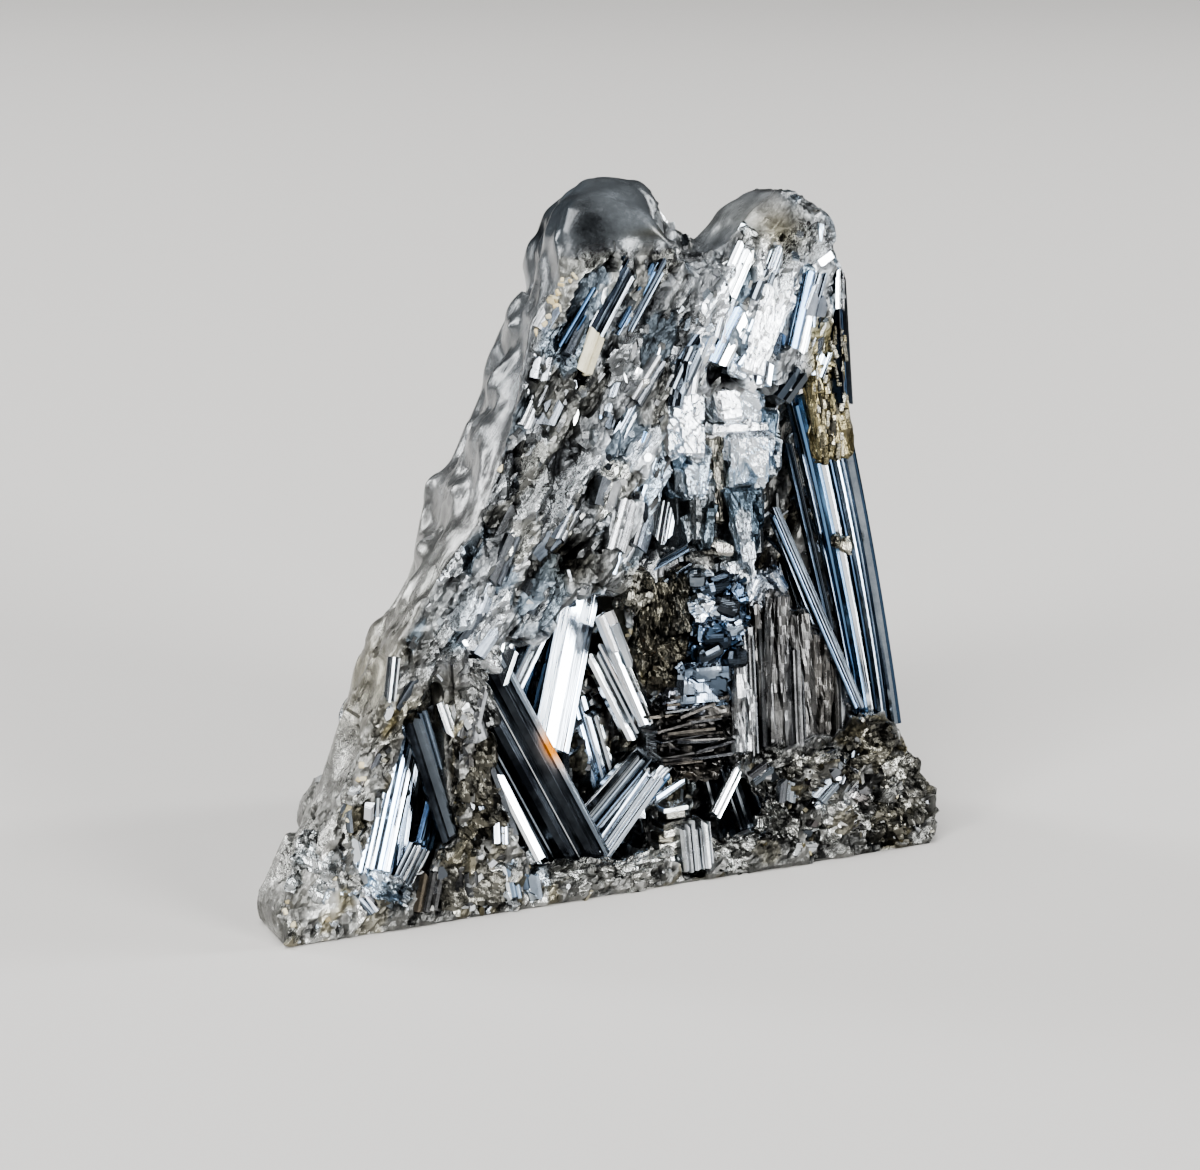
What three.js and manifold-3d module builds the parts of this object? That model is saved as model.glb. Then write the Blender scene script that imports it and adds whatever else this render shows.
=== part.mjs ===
// Stibnite crystal spray: a massive, granular body that ends in two peaks, with a hollow in its
// front where blades, prisms and needles of stibnite cross. It stands on a flat base.
//
// Everything is laid out on the front face, which leans back. On that face x runs to the right,
// y runs up along the face and z comes out of it, so a depth behind the face is a negative z.
import * as THREE from 'three'
import { mergeVertices } from 'three/addons/utils/BufferGeometryUtils.js'
import Module from 'manifold-3d'

const wasm = await Module()
wasm.setup()

// Driving dimensions, in millimetres and degrees
const leanDeg = 8
const baseDepth = 31
const socketGap = 0.3
const hollowDepth = 10.5
const flankRound = 2.2
const faceRound = 1
const smallestDetail = 0.1

// Finishes: colour, roughness, metalness
const finishes = {
  massive: ['#8d8f8f', 0.45, 0.75],
  bright: ['#c9d0d6', 0.16, 1],
  steelBlue: ['#6f8598', 0.2, 1],
  darkSteel: ['#4a4f57', 0.24, 1],
  paleBlue: ['#9db4c4', 0.22, 1],
  lilac: ['#8c8fb0', 0.2, 1],
  grey: ['#7c7b78', 0.38, 0.9],
  cream: ['#cfc4a4', 0.6, 0]
}

// A small seeded generator, so that every build is the same
function seeded(seed) {
  let state = seed
  return (low, high) => {
    state = (state * 1664525 + 1013904223) % 4294967296
    return low + (high - low) * (state / 4294967296)
  }
}

function material(finish) {
  const [color, roughness, metalness] = finishes[finish]
  return new THREE.MeshStandardMaterial({ color, roughness, metalness, flatShading: true })
}

// Closed solids for cutting and joining
function toSolid(geometry) {
  const bare = geometry.clone()
  bare.deleteAttribute('normal')
  bare.deleteAttribute('uv')
  const merged = mergeVertices(bare, 1e-4)
  return new wasm.Manifold(new wasm.Mesh({
    numProp: 3,
    vertProperties: new Float32Array(merged.attributes.position.array),
    triVerts: new Uint32Array(merged.index.array)
  }))
}

function join(solids) {
  return solids.reduce((whole, piece) => whole.add(piece)).simplify(smallestDetail)
}

// The largest connected part, which drops any crumb that a socket cuts loose
function largest(solid) {
  return solid.decompose().reduce((best, piece) => (piece.volume() > best.volume() ? piece : best))
}

function toMesh(name, solid, finish) {
  const { vertProperties, triVerts } = solid.getMesh()
  const geometry = new THREE.BufferGeometry()
  geometry.setAttribute('position', new THREE.BufferAttribute(vertProperties, 3))
  geometry.setIndex(new THREE.BufferAttribute(triVerts, 1))
  geometry.computeVertexNormals()
  const mesh = new THREE.Mesh(geometry, material(finish))
  mesh.name = name
  return mesh
}

// A slab with rounded edges, from one depth behind the face to another
function slab(outline, front, back, round, bevelSegments = 1) {
  const shape = new THREE.Shape(outline.map(([x, y]) => new THREE.Vector2(x, y)))
  const geometry = new THREE.ExtrudeGeometry(shape, {
    depth: back - front - 2 * round,
    bevelThickness: round,
    bevelSize: round,
    bevelOffset: -round,
    bevelSegments
  })
  return geometry.translate(0, 0, round - back)
}

// A rounded grain: a coarse ball with uneven radii
function grain(centre, radii, seed) {
  const random = seeded(seed)
  const turn = new THREE.Euler(random(-0.5, 0.5), random(-0.5, 0.5), random(0, 3))
  const ball = mergeVertices(stripped(new THREE.IcosahedronGeometry(1, 1)), 1e-4)
  const points = ball.attributes.position
  for (let i = 0; i < points.count; i += 1) {
    const swell = random(0.86, 1.1)
    points.setXYZ(i, points.getX(i) * swell, points.getY(i) * swell, points.getZ(i) * swell)
  }
  ball.applyMatrix4(new THREE.Matrix4().makeRotationFromEuler(turn))
  return ball.scale(...radii).translate(...centre)
}

function stripped(geometry) {
  geometry.deleteAttribute('normal')
  geometry.deleteAttribute('uv')
  return geometry
}

// The eight-sided section of a stibnite prism: two broad faces and bevelled sides
function prismSection(width, thickness) {
  const quarter = [[0.5, -0.2], [0.5, 0.2], [0.34, 0.5], [-0.34, 0.5]]
  const halves = [...quarter, ...quarter.map(([x, y]) => [-x, -y])]
  return new THREE.Shape(halves.map(([x, y]) => new THREE.Vector2(x * width, y * thickness)))
}

// Where a straight crystal lies: its foot, and axes along its width, thickness and length
function crystalPlace({ from, to, roll = 0 }) {
  const foot = new THREE.Vector3(...from)
  const along = new THREE.Vector3(...to).sub(foot)
  const length = along.length()
  along.normalize()
  const across = new THREE.Vector3(-along.y, along.x, 0).normalize()
  across.applyAxisAngle(along, THREE.MathUtils.degToRad(roll))
  const outward = new THREE.Vector3().crossVectors(along, across)
  const matrix = new THREE.Matrix4().makeBasis(across, outward, along).setPosition(foot)
  return { matrix, length }
}

// A straight crystal along +z from its foot, with a chisel tip that slants across its width
function crystalShape(crystal, grow) {
  const { width, thickness, slant = 0.5 } = crystal
  const { length } = crystalPlace(crystal)
  const tip = Math.min(width, thickness) * 0.3
  const geometry = new THREE.ExtrudeGeometry(prismSection(width + 2 * grow, thickness + 2 * grow), {
    depth: length - 2 * tip + 2 * grow,
    bevelThickness: tip,
    bevelSize: tip,
    bevelOffset: -tip,
    bevelSegments: 1
  })
  geometry.translate(0, 0, tip - grow)
  const points = geometry.attributes.position
  for (let i = 0; i < points.count; i += 1) {
    if (points.getZ(i) > length / 2) points.setZ(i, points.getZ(i) + slant * points.getX(i))
  }
  return geometry
}

function crystalSolid(crystal, grow) {
  return toSolid(crystalShape(crystal, grow).applyMatrix4(crystalPlace(crystal).matrix))
}

function crystalMesh(name, crystal) {
  const geometry = crystalShape(crystal, 0)
  geometry.computeVertexNormals()
  const mesh = new THREE.Mesh(geometry, material(crystal.finish))
  mesh.name = name
  mesh.applyMatrix4(crystalPlace(crystal).matrix)
  return mesh
}

// Several prisms grown side by side into one crystal group
function bundleSolid(prisms, grow) {
  return join(prisms.map((prism) => crystalSolid(prism, grow)))
}

// The massive body
const rearOutline = [
  [-27, -8], [-27, 2], [-23, 8], [-19, 18], [-15, 26], [-9.5, 34], [-5, 41.5], [-1, 48], [3, 54],
  [9, 57], [16, 51], [24, 50], [26.5, 38], [27, 26], [30, 15], [33, 6], [32, -8]
]
const middleOutline = [
  [-29.8, -6], [-29.8, 2], [-25.8, 8.2], [-22.6, 13.5], [-20.6, 19.5], [-18, 26], [-14.6, 28.3],
  [-12.4, 33.5], [-11.2, 39.2], [-8.2, 41.7], [-5.8, 46.5], [-2.8, 53], [0.5, 57.5], [1.8, 60.8],
  [1.4, 63.5], [3, 65.7], [6.3, 67],
  [10.5, 66.5], [13, 63.5], [15.3, 60], [17, 56.5], [19.5, 58.5], [22.5, 62.5], [26, 62.5], [26.5, 54],
  [26, 33], [27, 26], [30, 15], [33, 7], [33.5, 2], [32, -6]
]
const trunkOutline = [
  [-32.6, -3], [-33.2, 3], [-30.2, 8], [-26.8, 13], [-22.5, 21], [-19.5, 26.5], [-16.5, 31], [-12, 36.5],
  [-9, 43], [-5, 50], [-2.5, 57], [-1.5, 62], [0.5, 65], [4.5, 66], [8, 63.5], [11, 58.5], [11, 52.5],
  [8.5, 47], [8, 39], [5, 33], [3, 28.5], [-2.5, 28.5], [-6, 24.5], [-12, 24.8], [-15.5, 24.5],
  [-18.5, 20], [-20.5, 17], [-24, 8], [-28.5, 6], [-28.5, -3]
]
const footOutline = [
  [-32.6, -3], [-33.2, 3.4], [-30.2, 8], [-26, 7], [-23.5, 4.2], [-18.5, 4], [-15, 6], [-10.5, 5],
  [-7, 3], [-1.5, 2.4], [3, 2.8], [6, 2.3], [12, 2.3], [16, 3], [20, 6], [34.5, 6], [35, 1.5],
  [33.5, -3]
]
const crustOutline = [
  [-16.2, 27], [-13, 26], [-12.6, 18], [-11.4, 11], [-9.2, 6], [-7.5, 2], [-19, 2], [-18.7, 5],
  [-15.8, 8], [-16.4, 16]
]
const armOutline = [
  [9, 58], [14.5, 59.5], [18.5, 63.2], [22, 65], [25.5, 64.3], [26.9, 62], [27.2, 56], [27, 46.5],
  [22.5, 46.2], [20, 44], [14, 43], [8, 44], [7.5, 50]
]
const fibrousOutline = [[3, 31], [12, 33], [13, 12], [7, 11], [4.5, 16], [3.8, 24]]
const rightLumpOutline = [
  [14, 10], [18.5, 11.8], [24.5, 12], [26.5, 14], [31.3, 13], [33.4, 7.5], [34.8, 4], [34.6, 0],
  [33.5, -3], [19, -3], [18.6, 3], [17, 8]
]

// The slabs that the body is joined from: their outlines, the depths of their fronts and backs, and
// the rounding of their edges
const lowerRearOutline = rearOutline.map(([x, y]) => [x * 0.84 + 1, y * 0.6])
const slabs = [
  { outline: rearOutline, front: 13, back: 24, round: 4.5 },
  { outline: lowerRearOutline, front: 18, back: baseDepth - 2, round: 4 },
  { outline: middleOutline, front: hollowDepth - 3, back: 17, round: flankRound, segments: 2 },
  { outline: trunkOutline, front: 0, back: 8, round: faceRound, segments: 2 },
  { outline: footOutline, front: 0, back: 8, round: faceRound },
  { outline: crustOutline, front: -0.3, back: 9, round: faceRound },
  { outline: armOutline, front: 0, back: 12, round: faceRound * 1.5 },
  { outline: fibrousOutline, front: 3, back: 12, round: faceRound },
  { outline: rightLumpOutline, front: 0, back: 12, round: faceRound * 1.5 }
]

// Ridges that climb the trunk, columns down the back, and rounded lobes and grains.
// A pair of numbers is the lowest and the highest of a random size or place.
const trunkRidges = {
  count: 8, firstX: -14.6, spacing: 2, foot: 27.5, footRise: 0.4, footSpread: [-1.5, 1.5],
  run: 11.5, rise: 25, riseSpread: [-4, 5], width: [1.6, 2.6], footDepth: 0.5, headDepth: 0.6
}
const rearColumns = {
  heights: [33, 44, 52, 46, 54, 47, 37], firstX: -17.5, spacing: 7, inset: 4, insetSpread: [0, 3],
  gather: 0.42, headX: 8, headDepth: 15.5, width: [7, 9], thickness: [6, 8]
}
const flankLobes = {
  count: 10, first: [-23.6, 9], reach: [25.8, 49], depth: 9.5, depthSpread: [-2, 2],
  radii: [[3, 3.8], [3.6, 4.8], [4.6, 6.2]], firstSeed: 20
}
const knob = { centre: [5.6, 62.2, -6.2], radii: [5.2, 5, 5.4], seed: 41 }
const lumpGrains = {
  count: 9, x: [20, 31.5], y: [1.5, 11], depth: 1.4, radii: [[1.4, 2.6], [1.2, 2.2], [1.6, 2.4]],
  firstSeed: 50
}
const swellingSeed = 80
const swellings = [
  [[9, 20, -21], [15, 17, 8]], [[-7, 13, -20], [13, 13, 8]], [[23, 12, -19], [9, 13, 8]],
  [[8, 42, -14], [11, 14, 6]], [[20, 44, -12.5], [7, 14, 6]], [[26, 24, -12], [4.5, 15, 6]],
  [[24, 61, -7], [3.4, 4, 5]]
]

function bodyPieces() {
  const random = seeded(7)
  const pieces = slabs.map(({ outline, front, back, round, segments }) => (
    slab(outline, front, back, round, segments)
  ))
  // Grooved ridges that climb the trunk, leaning to the right
  for (let i = 0; i < trunkRidges.count; i += 1) {
    const { firstX, spacing, foot, footRise, footSpread, run, rise, riseSpread, width } = trunkRidges
    const x = firstX + i * spacing
    const low = foot + i * footRise + random(...footSpread)
    const head = [x + run, low + rise + random(...riseSpread), -trunkRidges.headDepth]
    pieces.push(ridge([x, low, -trunkRidges.footDepth], head, random(...width)))
  }
  // Columns down the back, fanning out to the base
  for (const [i, height] of rearColumns.heights.entries()) {
    const { firstX, spacing, inset, insetSpread, gather, headX, headDepth } = rearColumns
    const x = firstX + i * spacing
    const head = [x * gather + headX, height, -headDepth]
    const foot = [x, 0, inset - baseDepth + random(...insetSpread)]
    pieces.push(ridge(foot, head, random(...rearColumns.width), random(...rearColumns.thickness)))
  }
  // Swellings between those columns
  for (const [i, [centre, radii]] of swellings.entries()) {
    pieces.push(grain(centre, radii, swellingSeed + i))
  }
  // Rounded lobes on the left flank and on the knob, and grains on the right-hand lump
  for (let i = 0; i < flankLobes.count; i += 1) {
    const { first, reach, depth, depthSpread, radii, firstSeed } = flankLobes
    const t = i / (flankLobes.count - 1)
    const centre = [first[0] + reach[0] * t, first[1] + reach[1] * t, -depth + random(...depthSpread)]
    pieces.push(grain(centre, radii.map((range) => random(...range)), firstSeed + i))
  }
  pieces.push(grain(knob.centre, knob.radii, knob.seed))
  for (let i = 0; i < lumpGrains.count; i += 1) {
    const { x, y, depth, radii, firstSeed } = lumpGrains
    const centre = [random(...x), random(...y), -depth]
    pieces.push(grain(centre, radii.map((range) => random(...range)), firstSeed + i))
  }
  return pieces
}

function ridge(from, to, width, thickness = width) {
  const crystal = { from, to, width, thickness, roll: 8, slant: 0.3 }
  return crystalShape(crystal, 0).applyMatrix4(crystalPlace(crystal).matrix)
}

// Single crystals in the hollow and on its rim
const crystals = {
  dark_beam: {
    from: [-1.9, 1.9, -3.4], to: [-12.4, 23.4, -3.2], width: 5.6, thickness: 3, roll: -14,
    slant: -0.5, finish: 'darkSteel'
  },
  bright_blade: {
    from: [-4.6, 13.2, -8], to: [0.6, 28.6, -4.4], width: 3.9, thickness: 1.8, roll: 12,
    slant: 0.6, finish: 'bright'
  },
  side_blade: {
    from: [-7.6, 13.5, -8.4], to: [-2.6, 28.4, -6.8], width: 1.7, thickness: 1.4, roll: -20,
    slant: 0.4, finish: 'steelBlue'
  },
  twin_blade_long: {
    from: [-8.6, 17.8, -8], to: [-4.6, 27.6, -5.2], width: 1.3, thickness: 1, roll: 10,
    slant: 0.4, finish: 'bright'
  },
  twin_blade_short: {
    from: [-9.6, 19.6, -6.4], to: [-6.9, 26.4, -4.4], width: 1.6, thickness: 1, roll: -12,
    slant: 0.4, finish: 'bright'
  },
  pale_blade: {
    from: [-24.6, 3.6, -2.4], to: [-19.4, 18.4, -2.6], width: 2.9, thickness: 1.6, roll: 10,
    slant: 0.3, finish: 'paleBlue'
  },
  pale_blade_inner: {
    from: [-21.2, 3.8, -4.6], to: [-17.6, 17.6, -4.8], width: 2, thickness: 1.3, roll: -10,
    slant: 0.3, finish: 'steelBlue'
  },
  crossing_blade: {
    from: [-16.2, 7.4, -1.1], to: [-19.4, 19.6, -0.7], width: 1.6, thickness: 1, roll: 0,
    slant: -0.4, finish: 'darkSteel'
  },
  blue_prism: {
    from: [-18.9, 4.6, -2.7], to: [-16.7, 11, -2.6], width: 1.6, thickness: 1.2, roll: 10,
    slant: 0.3, finish: 'steelBlue'
  },
  grey_prism: {
    from: [-21.6, 3.2, -1.5], to: [-19, 7.4, -1.2], width: 2, thickness: 1.1, roll: 0,
    slant: 0.4, finish: 'grey'
  },
  white_sliver: {
    from: [-7.7, 4.2, -0.5], to: [-11.4, 13.4, -0.6], width: 0.9, thickness: 0.8, roll: 0,
    slant: -0.4, finish: 'bright'
  },
  upper_blade: {
    from: [5.1, 13.6, -6.4], to: [1.4, 22.6, -5.6], width: 2.3, thickness: 1.3, roll: -12,
    slant: -0.3, finish: 'bright'
  },
  edge_blade: {
    from: [5.2, 14.8, -3.8], to: [1.6, 25.6, -3.4], width: 1.4, thickness: 1.2, roll: 20,
    slant: -0.3, finish: 'bright'
  },
  lilac_blade: {
    from: [2.6, 8.4, -8.4], to: [0.8, 17.8, -8.2], width: 2.2, thickness: 1.4, roll: 14,
    slant: -0.3, finish: 'lilac'
  },
  ray_blade_upper: {
    from: [-2.2, 5.4, -7.4], to: [5.4, 11.8, -4.4], width: 1.8, thickness: 1.2, roll: 10,
    slant: 0.3, finish: 'bright'
  },
  ray_blade_lower: {
    from: [-0.2, 3, -5.4], to: [7, 11, -2.8], width: 1.5, thickness: 1.1, roll: -10,
    slant: 0.3, finish: 'paleBlue'
  },
  white_prism: {
    from: [11.3, 5.2, -4], to: [14.6, 10, -1.8], width: 1.1, thickness: 1, roll: 0,
    slant: 0.4, finish: 'bright'
  },
  fan_blade_left: {
    from: [14.3, 2, -5.4], to: [12.8, 9.4, -5.8], width: 1.2, thickness: 1.4, roll: 30,
    slant: 0.3, finish: 'darkSteel'
  },
  fan_blade_middle: {
    from: [16.5, 2.2, -5.2], to: [14.6, 9.6, -5.8], width: 1.1, thickness: 1.5, roll: 20,
    slant: 0.3, finish: 'darkSteel'
  },
  fan_blade_right: {
    from: [18.5, 2.8, -5], to: [16.4, 9.6, -5.8], width: 1.1, thickness: 1.5, roll: 10,
    slant: 0.3, finish: 'darkSteel'
  },
  crossing_needle: {
    from: [27.2, 13.8, -1.2], to: [19, 35.6, -2.8], width: 1.1, thickness: 1, roll: 0,
    slant: -0.5, finish: 'darkSteel'
  },
  cavity_blade: {
    from: [7, 28.9, -7], to: [8.8, 33.9, -6.2], width: 1.4, thickness: 1, roll: 25,
    slant: 0.4, finish: 'paleBlue'
  },
  cream_flake: {
    from: [-1.4, 48.4, 0.2], to: [1.4, 54.4, 0.2], width: 1.3, thickness: 1.1, roll: 0,
    slant: 0.3, finish: 'cream'
  }
}

// Upright striated columns at the right, under the arm
const columnCount = 6
const columnSpacing = 1.55

function columnPrisms() {
  const random = seeded(11)
  const prisms = []
  for (let i = 0; i < columnCount; i += 1) {
    const x = 16.9 + i * columnSpacing
    const top = 25.6 - i * 0.9 + random(-1, 0.8)
    const depth = -3.4 - random(0, 1.2)
    prisms.push({
      from: [x - 0.3, 10, depth], to: [x + 0.35, top, depth - 0.5], width: 2,
      thickness: random(3, 4), roll: random(-10, 10), slant: random(-0.5, 0.5)
    })
  }
  return prisms
}

// The short bundle of grooved prisms at the bottom of the hollow
function footPrisms() {
  const prisms = []
  for (let i = 0; i < 3; i += 1) {
    const x = 7.4 + i * 0.9
    prisms.push({
      from: [x + 0.2, 1, -1.1], to: [x - 0.1, 5.6 + i * 0.3, -1.3], width: 1.2,
      thickness: 2.4, roll: 6 - 6 * i, slant: 0.3
    })
  }
  return prisms
}

// Long needles that bow outwards down the right-hand side, joined edge to edge
const needle = { count: 7, width: 1.15, top: 46.5, foot: 12.4, bow: 1.1 }

function needleShape(index, grow) {
  const share = index / (needle.count - 1)
  const foot = new THREE.Vector3(29 + 2.6 * share, needle.foot - grow, -4.4 + 2.2 * share)
  const top = needle.top - 1.5 + 1.5 * share + grow
  const head = new THREE.Vector3(22.6 + 3.9 * share, top, -4.2 + 2.2 * share)
  const middle = foot.clone().lerp(head, 0.5)
  middle.x -= needle.bow
  const curve = new THREE.QuadraticBezierCurve3(foot, middle, head)
  const radius = needle.width / 2 + grow
  const section = new THREE.Shape()
  for (let side = 0; side < 5; side += 1) {
    const angle = (side / 5) * 2 * Math.PI + index
    const corner = [radius * 1.15 * Math.cos(angle), radius * 1.15 * Math.sin(angle)]
    section[side ? 'lineTo' : 'moveTo'](...corner)
  }
  return new THREE.ExtrudeGeometry(section, { steps: 4, extrudePath: curve, bevelEnabled: false })
}

function needleSolid(grow) {
  return join(Array.from({ length: needle.count }, (_, index) => toSolid(needleShape(index, grow))))
}

// The stepped column under the right peak: shifted blocks that thin into plates lower down.
// Each level is a height with the left and right edge of the column there.
const levels = [
  [45, 8.6, 19.6], [38, 9, 19], [31, 10, 15.8], [25, 9.8, 15.6], [20, 9, 14.8], [13, 6.6, 13.4]
]

function steppedColumn(grow) {
  const random = seeded(5)
  const blocks = []
  for (let y = 44.5; y > 14; y -= 2.3 - (45 - y) * 0.03) {
    const above = levels.findLast(([level]) => level >= y)
    const below = levels[Math.min(levels.indexOf(above) + 1, levels.length - 1)]
    const share = (above[0] - y) / Math.max(above[0] - below[0], 1)
    const left = above[1] + (below[1] - above[1]) * share + random(-0.6, 0.6)
    const right = above[2] + (below[2] - above[2]) * share + random(-0.6, 0.6)
    const width = right - left + 2 * grow
    const block = new THREE.BoxGeometry(width, 2.9 + 2 * grow, 5.6 + 2 * grow)
    blocks.push(block.rotateZ(random(-0.05, 0.05)).translate((left + right) / 2, y, -2.6 + random(-0.6, 0.6)))
  }
  return join(blocks.map(toSolid))
}

// Assembly: every crystal sits in a socket of the massive body
const face = new THREE.Group()
face.rotation.x = THREE.MathUtils.degToRad(90 - leanDeg)
face.updateMatrix()

const bundles = {
  stepped_column: { solid: steppedColumn, finish: 'bright' },
  column_bundle: { solid: (grow) => bundleSolid(columnPrisms(), grow), finish: 'grey' },
  needle_bundle: { solid: needleSolid, finish: 'steelBlue' },
  foot_bundle: { solid: (grow) => bundleSolid(footPrisms(), grow), finish: 'bright' }
}

function massiveBody() {
  const ground = new THREE.BoxGeometry(200, 200, 60).translate(0, 0, -30)
  let body = join(bodyPieces().map(toSolid))
  body = body.subtract(toSolid(ground.applyMatrix4(face.matrix.clone().invert())))
  for (const crystal of Object.values(crystals)) body = body.subtract(crystalSolid(crystal, socketGap))
  for (const bundle of Object.values(bundles)) body = body.subtract(bundle.solid(socketGap))
  return largest(body.simplify(smallestDetail))
}

face.add(toMesh('massive_body', massiveBody(), 'massive'))
for (const [name, bundle] of Object.entries(bundles)) face.add(toMesh(name, bundle.solid(0), bundle.finish))
for (const [name, crystal] of Object.entries(crystals)) face.add(crystalMesh(name, crystal))

// The origin is the middle of the base: the centre of the bounding box, at its foot
const spray = new THREE.Group()
spray.add(face)
spray.updateMatrixWorld(true)
const box = new THREE.Box3().setFromObject(spray, true)
face.position.set(-(box.min.x + box.max.x) / 2, -(box.min.y + box.max.y) / 2, -box.min.z)

export default spray
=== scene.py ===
import math

import bmesh
import bpy
import numpy as np
from mathutils import Matrix, Vector, kdtree, noise


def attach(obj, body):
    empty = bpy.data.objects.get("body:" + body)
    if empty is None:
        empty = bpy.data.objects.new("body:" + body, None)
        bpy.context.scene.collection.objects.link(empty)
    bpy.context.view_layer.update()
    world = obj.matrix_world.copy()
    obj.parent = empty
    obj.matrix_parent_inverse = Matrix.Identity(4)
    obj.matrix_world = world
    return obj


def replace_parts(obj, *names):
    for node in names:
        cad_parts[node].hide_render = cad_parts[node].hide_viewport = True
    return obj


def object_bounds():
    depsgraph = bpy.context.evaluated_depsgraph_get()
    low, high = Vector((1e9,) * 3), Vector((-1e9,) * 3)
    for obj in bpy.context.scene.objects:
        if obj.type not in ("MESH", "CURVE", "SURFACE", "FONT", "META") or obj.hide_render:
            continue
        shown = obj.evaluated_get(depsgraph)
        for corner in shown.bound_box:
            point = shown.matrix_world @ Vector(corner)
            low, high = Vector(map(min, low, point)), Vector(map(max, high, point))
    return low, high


# A free-standing specimen of stibnite: a granular body with two peaks, and crystals in its hollow.

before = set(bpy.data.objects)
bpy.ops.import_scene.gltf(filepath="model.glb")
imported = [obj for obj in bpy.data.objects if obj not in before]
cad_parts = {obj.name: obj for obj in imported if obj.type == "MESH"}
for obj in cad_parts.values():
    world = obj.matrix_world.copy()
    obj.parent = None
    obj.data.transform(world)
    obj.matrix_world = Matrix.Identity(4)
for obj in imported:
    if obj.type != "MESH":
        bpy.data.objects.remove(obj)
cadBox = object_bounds()
mm = 0.001
print("frame loaded")

# Most places are given on the leaning front face, in millimetres: x to the right, up along the face,
# and depth behind it.
face = {"leanDegrees": 8.0, "originX": -0.9, "behindBox": 0.2}
lean = math.radians(face["leanDegrees"])
faceOrigin = np.array([face["originX"], cadBox[0].y / mm + face["behindBox"], 0.0])
faceAxes = np.array([
    [1, 0, 0],
    [0, math.sin(lean), math.cos(lean)],
    [0, math.cos(lean), -math.sin(lean)],
])


def toWorld(points):
    return (faceOrigin + np.asarray(points, float) @ faceAxes) * mm


def toFace(points):
    return (np.asarray(points) / mm - faceOrigin) @ faceAxes.T


def insideBox(points):
    return np.clip(points, np.array(cadBox[0]), np.array(cadBox[1]))


def smoothStep(low, high, value):
    t = np.clip((value - low) / (high - low), 0, 1)
    return t * t * (3 - 2 * t)


def between(ends, share):
    return ends[0] + (ends[1] - ends[0]) * share


def linearColour(hexText, alpha=1.0):
    channels = [int(hexText[i:i + 2], 16) / 255 for i in (1, 3, 5)]
    linear = [c / 12.92 if c <= 0.04045 else ((c + 0.055) / 1.055) ** 2.4 for c in channels]
    return (*linear, alpha)


def addNode(tree, kind, values=None, links=None, **settings):
    node = tree.nodes.new(kind)
    for key, value in settings.items():
        setattr(node, key, value)
    for socket, value in (values or {}).items():
        node.inputs[socket].default_value = value
    for socket, source in (links or {}).items():
        tree.links.new(source, node.inputs[socket])
    return node


def addObject(name, data):
    thing = bpy.data.objects.new(name, data)
    bpy.context.scene.collection.objects.link(thing)
    return thing


# Stibnite is a soft lead-grey sulphide of antimony with a metallic lustre. Its cleavage faces are
# nearly mirrors, with fine grooves along the crystal, and old faces tarnish blue, violet or gold.
wornGrooves = 0.28  # the share of the grooves that is left on worn faces
coatRoughness = 0.12


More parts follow.
